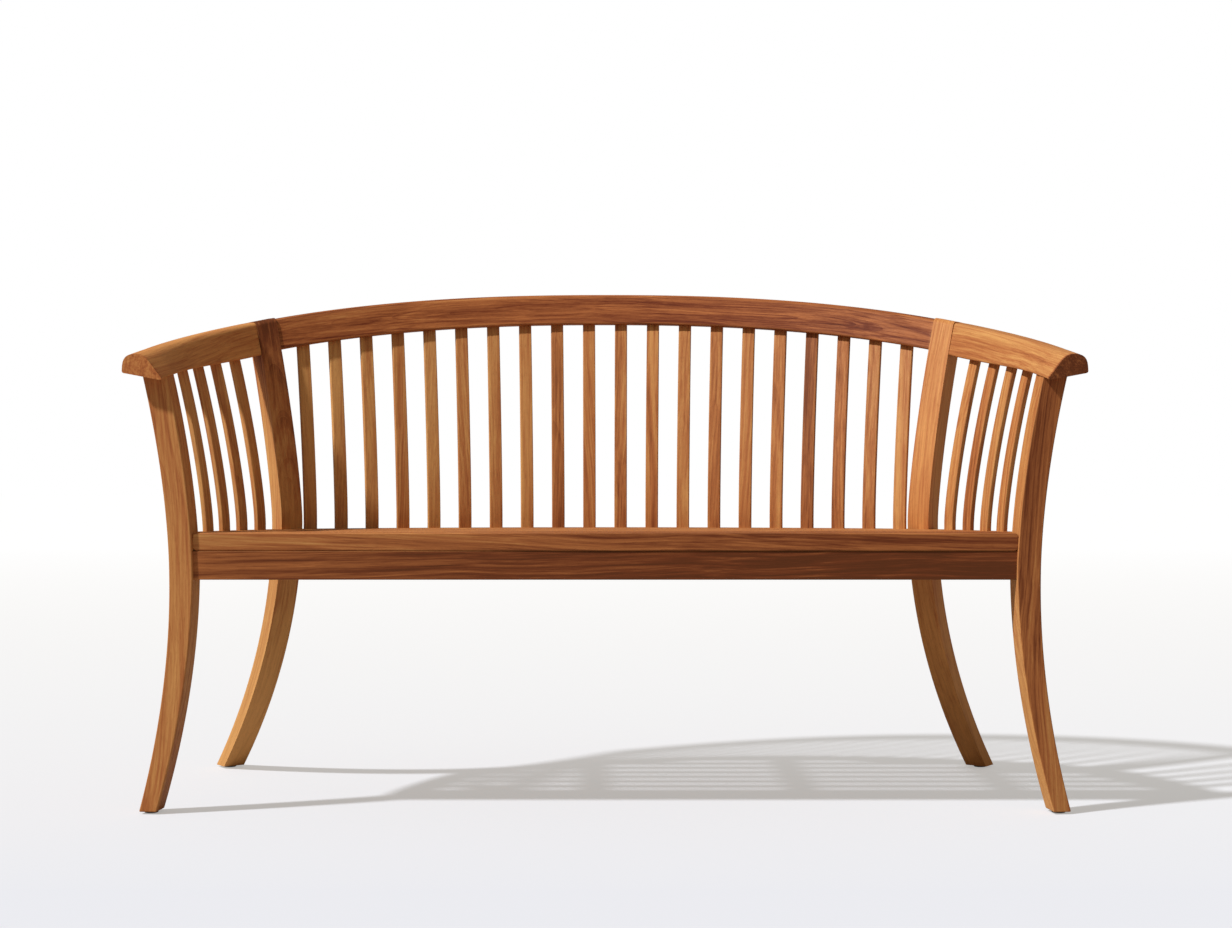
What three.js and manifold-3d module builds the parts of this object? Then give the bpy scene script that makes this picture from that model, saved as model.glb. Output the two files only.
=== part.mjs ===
// A curved wooden garden bench on four sabre legs, built as separate jointed pieces.
// Millimetres. X runs to the right as seen from the front, Y to the back, Z up.
// The origin is on the ground, under the middle of the bench.
import * as THREE from 'three';
import { mergeVertices } from 'three/addons/utils/BufferGeometryUtils.js';
import Module from 'manifold-3d';

const wasm = await Module();
wasm.setup();

// Plan of the bench, measured to the middle of each leg where it is narrowest
const frontLegHalfSpacing = 678;
const rearLegHalfSpacing = 559;
const legsApart = 285;
const backRadius = 1100;
const sideRadius = 880;

// How far each leg is turned in plan, in degrees from facing straight back
const rearLegTurn = 35;
const frontLegTurn = 83.5;

// Share of their turn in plan that the back slats lose as they lean back
const gatherShare = 0.4;

// Height of the seat above the ground, and of the middle of the top rail above the seat
const seatHeight = 452;
const railRise = 432;

// How far the top rail falls to the rear legs, and from there to the end of the arm
const shoulderDrop = 62;
const crestPower = 2.2;
const armDrop = 84;

// How the front and rear legs curve outwards, above and below their waists
const rearWaistRise = 12;
const rearLean = 125;
const rearLeanPower = 1.38;
const rearSplay = 244;
const frontWaistDrop = 75;
const frontLean = 62;
const frontLeanPower = 1.76;
const frontSplay = 56;
const leanRise = 400;
const splayPower = 1.93;

// Legs, each sawn from one plank
const legWidth = 40;
const legDepth = 39;
const frontFootDepth = 28;
const rearFootDepth = 23;
const legChamfer = 2;
const legSteps = 16;

// Glide fixed under each foot by a pin
const glideRadius = 11;
const glideThickness = 3;
const glideEdge = 1;
const glidePinRadius = 2;
const glidePinLength = 8;
const roundSides = 16;

// Domed cover over the bolt through the outside of each front leg, just below the seat's top
const coverDrop = 11;
const coverRadius = 14;
const coverDome = 4;
const coverRecess = 2;
const coverShankRadius = 8;
const coverShankLength = 7;
const coverSteps = 4;

// Top rail in three lengths: one over the back and one over each side
const railThickness = 34;
const railHeight = 58;
const railTopRound = 9;
const railBottomRound = 5;
const crestSteps = 22;
const armSteps = 12;
const cornerSteps = 3;

// Arm end, where the rail has turned into a flat, domed rest
const armOverhang = 50;
const armInside = 37;
const armOutside = 33;
const armHeight = 43;
const armTipHeight = 30;
const armCrestInside = -3;
const armCrestOutside = 31;
const armCrestRound = 19;
const armInnerRound = 14;
const armBottomRound = 4;

// Upright slats, spread evenly between the given distances from the middles of the legs
const slatWidth = 23;
const slatThickness = 9;
const slatChamfer = 1.5;
const slatSteps = 6;
const slatHousing = 12;
const backSlatCount = 20;
const backSlatEnd = 43;
const sideSlatCount = 4;
const sideSlatRear = 72;
const sideSlatFront = 87;

// Curved rails under the slats, which carry the seat
const seatRailOutside = 13;
const seatRailHeight = 70;
const rebateWidth = 9;
const sideRailSteps = 8;
const rearRailSteps = 18;

// Board and apron at the front of the seat
const frontBoardDepth = 82;
const frontBoardThickness = 29;
const frontBoardRound = 6;
const frontBoardSetBack = 1;
const apronHeight = 46;
const apronThickness = 24;
const apronSetBack = 3;
const apronEdge = 1;

// Seat slats and the bearers under them
const seatSlatCount = 7;
const seatSlatGap = 13;
const seatSlatThickness = 14;
const seatSlatRound = 3;
const seatRake = 6;
const slatEndGap = 1;
const bearerThickness = 24;
const bearerHeight = 30;
const bearerPitch = 358;
const bearerHousing = 8;

// Joints
const fit = 0.3;
const tenonThickness = 12;
const tenonShoulder = 14;
const tenonLength = 13;
const postTenon = 16;
const postTenonLength = 12;
const legTrim = 4;

// How far cutting shapes run past the wood, and the step over which a slope is measured
const overrun = 400;
const slopeStep = 0.6;

// Colours
const teakColor = 0xa9683a;
const glideColor = 0x2a2724;

// Heights that follow the seat's
const railTopHeight = seatHeight + railRise;
const rearWaist = seatHeight + rearWaistRise;
const frontWaist = seatHeight - frontWaistDrop;
const coverHeight = seatHeight - coverDrop;

// Directions and distances along the plan: each angle is 0 across the front and grows to the arm
const backHalfAngle = Math.asin(rearLegHalfSpacing / backRadius);
const backHalfArc = backRadius * backHalfAngle;
const backSagitta = backRadius * (1 - Math.cos(backHalfAngle));
const sideSpread = frontLegHalfSpacing - rearLegHalfSpacing;
const sideChordAngle = Math.atan2(legsApart, sideSpread);
const sideHalfAngle = Math.asin(Math.hypot(sideSpread, legsApart) / 2 / sideRadius);
const sideStartAngle = sideChordAngle - sideHalfAngle;
const sideArc = 2 * sideHalfAngle * sideRadius;
const rearLegAngle = THREE.MathUtils.degToRad(rearLegTurn);
const frontLegAngle = THREE.MathUtils.degToRad(frontLegTurn);

const frontLegPlace = { x: frontLegHalfSpacing, y: 0, angle: frontLegAngle };
const rearLegPlace = { x: rearLegHalfSpacing, y: legsApart, angle: rearLegAngle };

// A place on the curve of the back, t away from the middle of the bench
function backCurve(t) {
  const angle = t / backRadius;
  return {
    x: backRadius * Math.sin(angle),
    y: legsApart + backRadius * (Math.cos(angle) - Math.cos(backHalfAngle)),
    angle,
  };
}

// A place on the curve of the right side, t in front of the rear leg
function sideCurve(t) {
  const angle = sideStartAngle + t / sideRadius;
  return {
    x: rearLegHalfSpacing + sideRadius * (Math.sin(angle) - Math.sin(sideStartAngle)),
    y: legsApart + sideRadius * (Math.cos(angle) - Math.cos(sideStartAngle)),
    angle,
  };
}

const outward = (place) => new THREE.Vector3(Math.sin(place.angle), Math.cos(place.angle), 0);
const forward = (place) => new THREE.Vector3(Math.cos(place.angle), -Math.sin(place.angle), 0);
const upward = new THREE.Vector3(0, 0, 1);

// Turns (outward, up, along) into bench coordinates at a place on the plan
function placeMatrix(place) {
  return new THREE.Matrix4()
    .makeBasis(outward(place), upward, forward(place))
    .setPosition(place.x, place.y, 0);
}

// How far the rear and the front leg's middle line stands outside its waist at a height
function bow(z, waist, splay, lean, leanPower) {
  if (z < waist) return splay * ((waist - z) / waist) ** splayPower;
  return lean * ((z - waist) / leanRise) ** leanPower;
}
const rearBow = (z) => bow(z, rearWaist, rearSplay, rearLean, rearLeanPower);
const frontBow = (z) => bow(z, frontWaist, frontSplay, frontLean, frontLeanPower);

// The same above the waists, for a place whose share of the way to the front leg is given
function leanAt(z, frontShare) {
  const rear = z < rearWaist ? 0 : rearBow(z);
  const front = z < frontWaist ? 0 : frontBow(z);
  return THREE.MathUtils.lerp(rear, front, frontShare);
}
function slopeOf(middleAt, z) {
  return (middleAt(z + slopeStep / 2) - middleAt(z - slopeStep / 2)) / slopeStep;
}

const atBack = () => 0;
const atSide = (t) => THREE.MathUtils.clamp(t / sideArc, 0, 1);

// Height of the seat's top surface, which falls slightly to the back
const seatTop = (y) => seatHeight - seatRake * THREE.MathUtils.clamp(y / (legsApart + backSagitta), 0, 1);

// Height of the top rail along the back, and along the side, where it falls at an even slope
const sideReach = sideArc + armOverhang;
const shoulderTop = railTopHeight - shoulderDrop;
const armStart = -rearBow(shoulderTop) * Math.tan(sideStartAngle - rearLegAngle);
const armSlope = armDrop / (sideReach - armStart);
const crestTop = (t) => railTopHeight - shoulderDrop * Math.abs(t / backHalfArc) ** crestPower;
const armTop = (t) => shoulderTop - armSlope * (t - armStart);
const shoulderSlope = ((crestPower * shoulderDrop) / backHalfArc + armSlope) / 2;

// How much less than square to the rail a slat leans, as an angle in plan
const gatherAtBack = (t) => (gatherShare * t) / backRadius;
const gatherAtSide = (t) => sideCurve(t).angle - THREE.MathUtils.lerp(rearLegAngle, frontLegAngle, atSide(t));

// Makes a closed solid of a geometry, and a geometry of a solid
function solidOf(geometry) {
  const bare = geometry.clone();
  bare.deleteAttribute('normal');
  bare.deleteAttribute('uv');
  const merged = mergeVertices(bare);
  return new wasm.Manifold(new wasm.Mesh({
    numProp: 3,
    vertProperties: merged.attributes.position.array,
    triVerts: new Uint32Array(merged.index.array),
  }));
}
function geometryOf(solid) {
  const mesh = solid.getMesh();
  const geometry = new THREE.BufferGeometry();
  geometry.setAttribute('position', new THREE.BufferAttribute(mesh.vertProperties, mesh.numProp));
  geometry.setIndex(new THREE.BufferAttribute(mesh.triVerts, 1));
  return geometry;
}

// The same solid on the other side of the bench
function mirrored(solid) {
  const geometry = geometryOf(solid).scale(-1, 1, 1);
  const index = geometry.index.array;
  for (let corner = 0; corner < index.length; corner += 3) {
    [index[corner], index[corner + 1]] = [index[corner + 1], index[corner]];
  }
  return solidOf(geometry);
}
const bothSides = (solids) => [...solids, ...solids.map(mirrored)];
const cut = (solid, tools) => tools.reduce((rest, tool) => rest.subtract(tool), solid);
const join = (solid, pieces) => pieces.reduce((whole, piece) => whole.add(piece), solid);

// A closed skin over rings of points, each ring anticlockwise when seen from the last ring's side
function skin(rings, outline) {
  const count = outline.length;
  const index = [];
  for (let near = 0; near < (rings.length - 1) * count; near += count) {
    const far = near + count;
    for (let corner = 0; corner < count; corner++) {
      const next = (corner + 1) % count;
      index.push(near + corner, near + next, far + next, near + corner, far + next, far + corner);
    }
  }
  const last = (rings.length - 1) * count;
  for (const [a, b, c] of THREE.ShapeUtils.triangulateShape(outline, [])) {
    index.push(c, b, a, last + a, last + b, last + c);
  }
  const geometry = new THREE.BufferGeometry().setFromPoints(rings.flat());
  geometry.setIndex(index);
  return solidOf(geometry);
}

// Sweeps a section, given as points (outward, up) at each distance, along a curve of the plan
function sweep(curve, start, end, steps, sectionAt) {
  const distances = Array.from({ length: steps + 1 }, (_, step) => start + ((end - start) * step) / steps);
  const rings = distances.map((t) => {
    const matrix = placeMatrix(curve(t));
    return sectionAt(t).map((p) => new THREE.Vector3(p.x, p.y, 0).applyMatrix4(matrix));
  });
  return skin(rings, sectionAt(start));
}

// An outline with its corners rounded, each corner given as [point, how far the round reaches]
function rounded(corners) {
  return corners.flatMap(([corner, reach], place) => {
    const before = corners.at(place - 1)[0];
    const after = corners[(place + 1) % corners.length][0];
    const start = corner.clone().add(before.clone().sub(corner).setLength(reach));
    const end = corner.clone().add(after.clone().sub(corner).setLength(reach));
    return new THREE.QuadraticBezierCurve(start, corner, end).getPoints(cornerSteps);
  });
}

// An outline in (outward, up), extruded along the plan at a place and moved along it as it rises
function plank(place, outline, width, chamfer, alongAt = () => 0) {
  const depth = width - 2 * chamfer;
  const geometry = new THREE.ExtrudeGeometry(new THREE.Shape(outline), {
    depth,
    steps: 1,
    bevelEnabled: chamfer > 0,
    bevelThickness: chamfer,
    bevelSize: chamfer,
    bevelOffset: -chamfer,
    bevelSegments: 1,
  });
  const points = geometry.attributes.position;
  for (let point = 0; point < points.count; point++) {
    points.setZ(point, points.getZ(point) - depth / 2 + alongAt(points.getY(point)));
  }
  return solidOf(geometry.applyMatrix4(placeMatrix(place)));
}

// A block with the given lowest and highest corner, in bench coordinates
function block(low, high) {
  const size = high.clone().sub(low);
  const middle = low.clone().add(high).divideScalar(2);
  return new THREE.BoxGeometry(size.x, size.y, size.z).translate(middle.x, middle.y, middle.z);
}

// A block at a place, given by its lowest and highest (outward, up, along)
const blockAt = (place, low, high) => solidOf(block(low, high).applyMatrix4(placeMatrix(place)));

// A round piece at a place, turned from a half outline of [radius, height], with a placing matrix
function turned(profile, matrix) {
  const points = profile.map(([radius, height]) => new THREE.Vector2(radius, height));
  return solidOf(new THREE.LatheGeometry(points, roundSides).applyMatrix4(matrix));
}

// An outline in (back, up), extruded across the bench by a width about the given X
function across(outline, x, width) {
  const geometry = new THREE.ExtrudeGeometry(new THREE.Shape(outline), {
    depth: width,
    steps: 1,
    bevelEnabled: false,
  });
  const matrix = new THREE.Matrix4().makeBasis(
    new THREE.Vector3(0, 1, 0), upward, new THREE.Vector3(1, 0, 0));
  return solidOf(geometry.applyMatrix4(matrix).translate(x - width / 2, 0, 0));
}

// The outline of an upright between two heights, from its middle line and its depth
function uprightOutline(low, high, steps, middleAt, depthAt) {
  const heights = Array.from({ length: steps + 1 }, (_, step) => low + ((high - low) * step) / steps);
  const edge = (z, side) => {
    const half = (depthAt(z) / 2) * Math.hypot(1, slopeOf(middleAt, z));
    return new THREE.Vector2(middleAt(z) + side * half, z);
  };
  return [...heights.map((z) => edge(z, 1)), ...heights.map((z) => edge(z, -1)).reverse()];
}

// A leg before its joints are cut, thicker all round by a gap
function legBlank(place, middleAt, footDepth, waist, top, gap) {
  const depthAt = (z) => {
    const share = THREE.MathUtils.clamp(z / waist, 0, 1);
    return THREE.MathUtils.lerp(footDepth, legDepth, share) + 2 * gap;
  };
  const outline = uprightOutline(glideThickness + fit, top, legSteps, middleAt, depthAt);
  return plank(place, outline, legWidth + 2 * gap, gap > 0 ? 0 : legChamfer);
}

// All that lies beyond the plane of a leg's side, to trim what butts against it
function beyondLeg(place, side) {
  const face = legWidth / 2 + fit;
  const near = side > 0 ? -overrun : -face;
  const far = side > 0 ? face : overrun;
  const low = new THREE.Vector3(-overrun, -overrun, near);
  return blockAt(place, low, new THREE.Vector3(overrun, railTopHeight + overrun, far));
}

// A tenon that enters a leg from one side, or its mortise when a gap is given
function sideTenon(place, side, middle, low, high, gap) {
  const face = legWidth / 2;
  const tip = face - tenonLength - gap;
  const root = face + tenonLength;
  const half = tenonThickness / 2 + gap;
  const near = side > 0 ? tip : -root;
  const far = side > 0 ? root : -tip;
  return blockAt(
    place,
    new THREE.Vector3(middle - half, low - gap, near),
    new THREE.Vector3(middle + half, high + gap, far),
  );
}

// The top rail's section, as a list of rounded corners, at a share of the way to the arm's end
function railCorners(armShare) {
  const half = railThickness / 2;
  const between = (rail, arm) => THREE.MathUtils.lerp(rail, arm, armShare);
  const bottomRound = between(railBottomRound, armBottomRound);
  const innerBottom = new THREE.Vector2(between(-half, -armInside), between(-railHeight, -armHeight));
  const outerBottom = new THREE.Vector2(between(half, armOutside), between(-railHeight, -armTipHeight));
  return [
    [innerBottom, bottomRound],
    [outerBottom, bottomRound],
    [new THREE.Vector2(between(half, armCrestOutside), 0), between(railTopRound, armCrestRound)],
    [new THREE.Vector2(between(-half, armCrestInside), 0), between(railTopRound, armInnerRound)],
  ];
}

// Sets points of that section at the rail's top line. Its faces lean with the uprights under it,
// and its top and underside stay level.
function leanSection(points, top, frontShare, armShare) {
  const slope = slopeOf((z) => leanAt(z, frontShare), top - railHeight / 2) * (1 - armShare);
  return points.map((p) => new THREE.Vector2(
    leanAt(top, frontShare) + p.x + p.y * slope,
    top + p.y,
  ));
}

// How far the rail has turned into an arm at a distance in front of the rear leg
function armShareAt(t) {
  return THREE.MathUtils.smoothstep(t, 0, sideReach);
}
const crestSection = (t) => leanSection(rounded(railCorners(0)), crestTop(t), 0, 0);
function armSection(t) {
  return leanSection(rounded(railCorners(armShareAt(t))), armTop(t), atSide(t), armShareAt(t));
}

// Rail over the right side before its joints are cut, lowered by a drop
function armBlank(drop) {
  const section = (t) => armSection(t).map((p) => new THREE.Vector2(p.x, p.y - drop));
  return sweep(sideCurve, 2 * armStart, sideReach, armSteps, section);
}

// Everything above a surface inside the arm, to clear what is left of the front leg over the arm
function insideArmSection(t) {
  const [[inner], [outer]] = railCorners(armShareAt(t));
  const halfWidth = outer.clone().sub(inner).divideScalar(2);
  const rise = new THREE.Vector2(0, legTrim);
  const low = [inner.clone().sub(halfWidth).add(rise), outer.clone().add(halfWidth).add(rise)];
  const high = low.map((p) => p.clone().setY(overrun)).reverse();
  return leanSection([...low, ...high], armTop(t), atSide(t), armShareAt(t));
}

// Curved seat rail's section: a plank with a rebate along its inner top edge
function seatRailSection(curve, frontShareAt, t) {
  const top = seatTop(curve(t).y);
  const middle = leanAt(seatHeight, frontShareAt(t));
  const inner = middle - legDepth / 2;
  const outer = middle + seatRailOutside;
  const floor = top - seatSlatThickness - fit;
  return [
    new THREE.Vector2(inner, top - seatRailHeight),
    new THREE.Vector2(outer, top - seatRailHeight),
    new THREE.Vector2(outer, top),
    new THREE.Vector2(inner + rebateWidth, top),
    new THREE.Vector2(inner + rebateWidth, floor),
    new THREE.Vector2(inner, floor),
  ];
}

// Everything outside a line along the seat rail, to trim the seat to its curve
function outsideSeatSection(frontShareAt, reach, t) {
  const inner = leanAt(seatHeight, frontShareAt(t)) - legDepth / 2 + reach;
  return [
    new THREE.Vector2(inner, -overrun),
    new THREE.Vector2(inner + overrun, -overrun),
    new THREE.Vector2(inner + overrun, seatHeight + overrun),
    new THREE.Vector2(inner, seatHeight + overrun),
  ];
}
function outsideSeat(reach) {
  const side = sweep(sideCurve, -legWidth, sideArc + overrun / 2, sideRailSteps, (t) => (
    outsideSeatSection(atSide, reach, t)));
  const back = sweep(backCurve, -backHalfArc - legWidth, backHalfArc + legWidth, rearRailSteps, (t) => (
    outsideSeatSection(atBack, reach, t)));
  return [...bothSides([side]), back];
}

// Where the uprights stand: distances along the back and along the right side
function spread(count, first, last) {
  return Array.from({ length: count }, (_, slat) => THREE.MathUtils.lerp(first, last, slat / (count - 1)));
}
const backSlatPlaces = spread(backSlatCount, backSlatEnd - backHalfArc, backHalfArc - backSlatEnd);
const sideSlatPlaces = spread(sideSlatCount, sideSlatRear, sideArc - sideSlatFront);

// An upright slat, or the mortises for its ends when a gap is given
function slat(run, t, gap) {
  const place = run.curve(t);
  const gather = Math.tan(run.gatherAt(t));
  const topPlace = t - gather * leanAt(run.topAt(t) - railHeight, run.frontShareAt(t));
  const middleAt = (z) => leanAt(z, run.frontShareAt(topPlace));
  const low = seatTop(place.y) - slatHousing - gap;
  const high = run.topAt(topPlace) - run.heightAt(topPlace) + slatHousing + gap;
  const outline = uprightOutline(low, high, slatSteps, middleAt, () => slatThickness + 2 * gap);
  const chamfer = gap > 0 ? 0 : slatChamfer;
  return plank(place, outline, slatWidth + 2 * gap, chamfer, (z) => -gather * middleAt(z));
}
const backRun = {
  curve: backCurve,
  topAt: crestTop,
  heightAt: () => railHeight,
  frontShareAt: atBack,
  gatherAt: gatherAtBack,
};
const sideRun = {
  curve: sideCurve,
  topAt: armTop,
  heightAt: (t) => THREE.MathUtils.lerp(railHeight, armHeight, armShareAt(t)),
  frontShareAt: atSide,
  gatherAt: gatherAtSide,
};
const backSlat = (t, gap) => slat(backRun, t, gap);
const sideSlat = (t, gap) => slat(sideRun, t, gap);

// The post tenon on a front leg, or its mortise in the arm when a gap is given
function postTenonSolid(gap) {
  const under = armTop(sideArc) - sideRun.heightAt(sideArc);
  const middle = frontBow(under);
  const half = postTenon / 2 + gap;
  return blockAt(
    frontLegPlace,
    new THREE.Vector3(middle - half, under - postTenonLength, -half),
    new THREE.Vector3(middle + half, under + postTenonLength + gap, half),
  );
}

// The tenons between rails and legs on the right side, or their mortises when a gap is given
const railMiddle = (top) => top - railHeight / 2;
function topTenon(side, gap) {
  const middle = railMiddle(shoulderTop);
  const half = railHeight / 2 - tenonShoulder;
  return sideTenon(rearLegPlace, side, rearBow(middle), middle - half, middle + half, gap);
}
function seatTenon(place, side, frontShare, gap) {
  const top = seatTop(place.y) - seatSlatThickness - fit;
  const low = seatTop(place.y) - seatRailHeight + tenonShoulder;
  return sideTenon(place, side, leanAt(seatHeight, frontShare), low, top - fit, gap);
}
const apronTop = seatHeight - frontBoardThickness - fit;
const apronFront = -legWidth / 2 + apronSetBack;
const legInside = frontLegHalfSpacing - legDepth / 2;
function apronTenon(gap) {
  const middle = apronFront + apronThickness / 2;
  const half = tenonThickness / 2 + gap;
  const low = apronTop - apronHeight + tenonShoulder / 2 - gap;
  const high = apronTop - tenonShoulder / 2 + gap;
  return solidOf(block(
    new THREE.Vector3(legInside - 2 * tenonLength, middle - half, low),
    new THREE.Vector3(legInside + tenonLength + gap, middle + half, high),
  ));
}

// A pad under a foot with its pin up into the leg, and the hole for that pin
function glideMatrix(place, middleAt) {
  return placeMatrix(place).multiply(
    new THREE.Matrix4().makeTranslation(middleAt(glideThickness), 0, 0));
}
function glide(place, middleAt) {
  const pinTop = glideThickness + glidePinLength;
  return turned([
    [0, 0],
    [glideRadius - glideEdge, 0],
    [glideRadius, glideEdge],
    [glideRadius, glideThickness],
    [glidePinRadius, glideThickness],
    [glidePinRadius, pinTop],
    [0, pinTop],
  ], glideMatrix(place, middleAt));
}
function glideHole(place, middleAt) {
  const radius = glidePinRadius + fit;
  const top = glideThickness + glidePinLength + fit;
  return turned([[0, 0], [radius, 0], [radius, top], [0, top]], glideMatrix(place, middleAt));
}

// The bolt cover and its hole, turned about a line out of the front leg's outer face
function coverMatrix() {
  const face = frontBow(coverHeight) + legDepth / 2;
  return placeMatrix(frontLegPlace)
    .multiply(new THREE.Matrix4().makeTranslation(face, coverHeight, 0))
    .multiply(new THREE.Matrix4().makeRotationZ(-Math.PI / 2));
}
function boltCover() {
  const dome = Array.from({ length: coverSteps + 1 }, (_, step) => {
    const angle = (Math.PI / 2) * (step / coverSteps);
    return [coverRadius * Math.cos(angle), coverDome * Math.sin(angle)];
  });
  dome[coverSteps][0] = 0;
  return turned([
    [0, -coverRecess - coverShankLength],
    [coverShankRadius, -coverRecess - coverShankLength],
    [coverShankRadius, -coverRecess],
    [coverRadius, -coverRecess],
    ...dome,
  ], coverMatrix());
}
function coverHole() {
  const bottom = -coverRecess - coverShankLength - fit;
  return turned([
    [0, bottom],
    [coverShankRadius + fit, bottom],
    [coverShankRadius + fit, -coverRecess - fit],
    [coverRadius + fit, -coverRecess - fit],
    [coverRadius + fit, coverDome],
    [0, coverDome],
  ], coverMatrix());
}

// Front leg on the right, up to the arm
function frontLeg() {
  const top = armTop(sideArc) + armHeight;
  const blank = legBlank(frontLegPlace, frontBow, frontFootDepth, frontWaist, top, 0);
  const insideArm = sweep(sideCurve, 2 * armStart, sideReach, armSteps, insideArmSection);
  const shouldered = cut(blank, [armBlank(fit), insideArm]);
  return cut(join(shouldered, [postTenonSolid(0)]), [
    apronTenon(fit),
    seatTenon(frontLegPlace, -1, 1, fit),
    glideHole(frontLegPlace, frontBow),
    coverHole(),
  ]);
}

// Rear leg on the right, its top cut to the slope of the rail that it parts
function rearLeg() {
  const top = shoulderTop;
  const blank = legBlank(rearLegPlace, rearBow, rearFootDepth, rearWaist, top + legWidth, 0);
  const low = new THREE.Vector3(-overrun, 0, -overrun);
  const cap = block(low, new THREE.Vector3(overrun, overrun, overrun));
  const slope = new THREE.Matrix4().set(
    1, 0, 0, rearBow(top),
    0, 1, -shoulderSlope, top,
    0, 0, 1, 0,
    0, 0, 0, 1,
  );
  const aboveRail = solidOf(cap.applyMatrix4(slope).applyMatrix4(placeMatrix(rearLegPlace)));
  return cut(blank, [
    aboveRail,
    topTenon(1, fit),
    topTenon(-1, fit),
    seatTenon(rearLegPlace, 1, 0, fit),
    seatTenon(rearLegPlace, -1, 0, fit),
    glideHole(rearLegPlace, rearBow),
  ]);
}

// Rail over the back, between the rear legs
function crestRail() {
  const blank = sweep(backCurve, -backHalfArc, backHalfArc, crestSteps, crestSection);
  const trimmed = cut(blank, bothSides([beyondLeg(rearLegPlace, -1)]));
  return cut(join(trimmed, bothSides([topTenon(-1, 0)])), backSlatPlaces.map((t) => backSlat(t, fit)));
}

// Rail over the right side, from the rear leg to the end of the arm
function armRail() {
  const trimmed = cut(armBlank(0), [beyondLeg(rearLegPlace, 1)]);
  return cut(join(trimmed, [topTenon(1, 0)]), [
    ...sideSlatPlaces.map((t) => sideSlat(t, fit)),
    postTenonSolid(fit),
  ]);
}

// Bearers run front to back under the seat slats, housed in the apron and the rear rail
const bearerPlaces = [-bearerPitch, 0, bearerPitch];
const frontBoardFront = -legWidth / 2 + frontBoardSetBack;
const frontBoardBack = frontBoardFront + frontBoardDepth;
function bearer(x, gap) {
  const rear = backCurve(backRadius * Math.asin(x / backRadius)).y - legDepth / 2 + bearerHousing;
  const front = apronFront + apronThickness - bearerHousing;
  const slatFloor = (y) => seatTop(y) - seatSlatThickness - fit;
  const step = frontBoardBack + fit;
  const outline = [
    new THREE.Vector2(front - gap, apronTop - bearerHeight - gap),
    new THREE.Vector2(rear + gap, apronTop - bearerHeight - gap),
    new THREE.Vector2(rear + gap, slatFloor(rear) - bearerHousing + gap),
    new THREE.Vector2(rear - 2 * bearerHousing, slatFloor(rear) - bearerHousing + gap),
    new THREE.Vector2(rear - 2 * bearerHousing, slatFloor(rear)),
    new THREE.Vector2(step, slatFloor(step)),
    new THREE.Vector2(step, apronTop + gap),
    new THREE.Vector2(front - gap, apronTop + gap),
  ];
  return across(outline, x, bearerThickness + 2 * gap);
}

// Rail under the back slats
function rearSeatRail() {
  const section = (t) => seatRailSection(backCurve, atBack, t);
  const blank = sweep(backCurve, -backHalfArc, backHalfArc, rearRailSteps, section);
  const trimmed = cut(blank, bothSides([beyondLeg(rearLegPlace, -1)]));
  return cut(join(trimmed, bothSides([seatTenon(rearLegPlace, -1, 0, 0)])), [
    ...backSlatPlaces.map((t) => backSlat(t, fit)),
    ...bearerPlaces.map((x) => bearer(x, fit)),
  ]);
}

// Rail under the right side's slats
function sideSeatRail() {
  const section = (t) => seatRailSection(sideCurve, atSide, t);
  const blank = sweep(sideCurve, 0, sideArc, sideRailSteps, section);
  const trimmed = cut(blank, [beyondLeg(rearLegPlace, 1), beyondLeg(frontLegPlace, -1)]);
  return cut(join(trimmed, [seatTenon(rearLegPlace, 1, 0, 0), seatTenon(frontLegPlace, -1, 1, 0)]), [
    ...sideSlatPlaces.map((t) => sideSlat(t, fit)),
  ]);
}

// A straight length of wood across the seat, its section given as rounded corners
const acrossSeat = (corners) => across(rounded(corners), 0, 2 * frontLegHalfSpacing);
function boxCorners(front, back, low, high, round) {
  return [
    [new THREE.Vector2(front, low), round],
    [new THREE.Vector2(back, low), round],
    [new THREE.Vector2(back, high), round],
    [new THREE.Vector2(front, high), round],
  ];
}

// Space for the legs, and for all that lies outside the seat, to trim what lies between them
const legSpaces = bothSides([
  legBlank(frontLegPlace, frontBow, frontFootDepth, frontWaist, seatHeight + legWidth, fit),
  legBlank(rearLegPlace, rearBow, rearFootDepth, rearWaist, seatHeight + legWidth, fit),
]);
const outsideBoard = [...outsideSeat(-fit), ...legSpaces];
const outsideSlats = [...outsideSeat(rebateWidth - slatEndGap), ...legSpaces];

// Rounded board at the front of the seat
function frontBoard() {
  const low = seatHeight - frontBoardThickness;
  return cut(
    acrossSeat(boxCorners(frontBoardFront, frontBoardBack, low, seatHeight, frontBoardRound)),
    outsideBoard,
  );
}

// Apron under that board, tenoned into the front legs
function frontApron() {
  const apronBack = apronFront + apronThickness;
  const corners = boxCorners(apronFront, apronBack, apronTop - apronHeight, apronTop, apronEdge);
  const trimmed = cut(acrossSeat(corners), outsideBoard);
  return cut(join(trimmed, bothSides([apronTenon(0)])), bearerPlaces.map((x) => bearer(x, fit)));
}

// The seat slats, counted from the front
const seatBack = legsApart + backSagitta - legDepth / 2 + rebateWidth - slatEndGap;
const seatSlatPitch = (seatBack - frontBoardBack) / seatSlatCount;
function seatSlat(count) {
  const front = frontBoardBack + count * seatSlatPitch + seatSlatGap;
  const back = front + seatSlatPitch - seatSlatGap;
  const corners = [
    [new THREE.Vector2(front, seatTop(front) - seatSlatThickness), apronEdge],
    [new THREE.Vector2(back, seatTop(back) - seatSlatThickness), apronEdge],
    [new THREE.Vector2(back, seatTop(back)), seatSlatRound],
    [new THREE.Vector2(front, seatTop(front)), seatSlatRound],
  ];
  return cut(acrossSeat(corners), outsideSlats);
}

const teak = new THREE.MeshStandardMaterial({ color: teakColor, roughness: 0.55, metalness: 0 });
const darkPad = new THREE.MeshStandardMaterial({ color: glideColor, roughness: 0.8, metalness: 0 });

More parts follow.
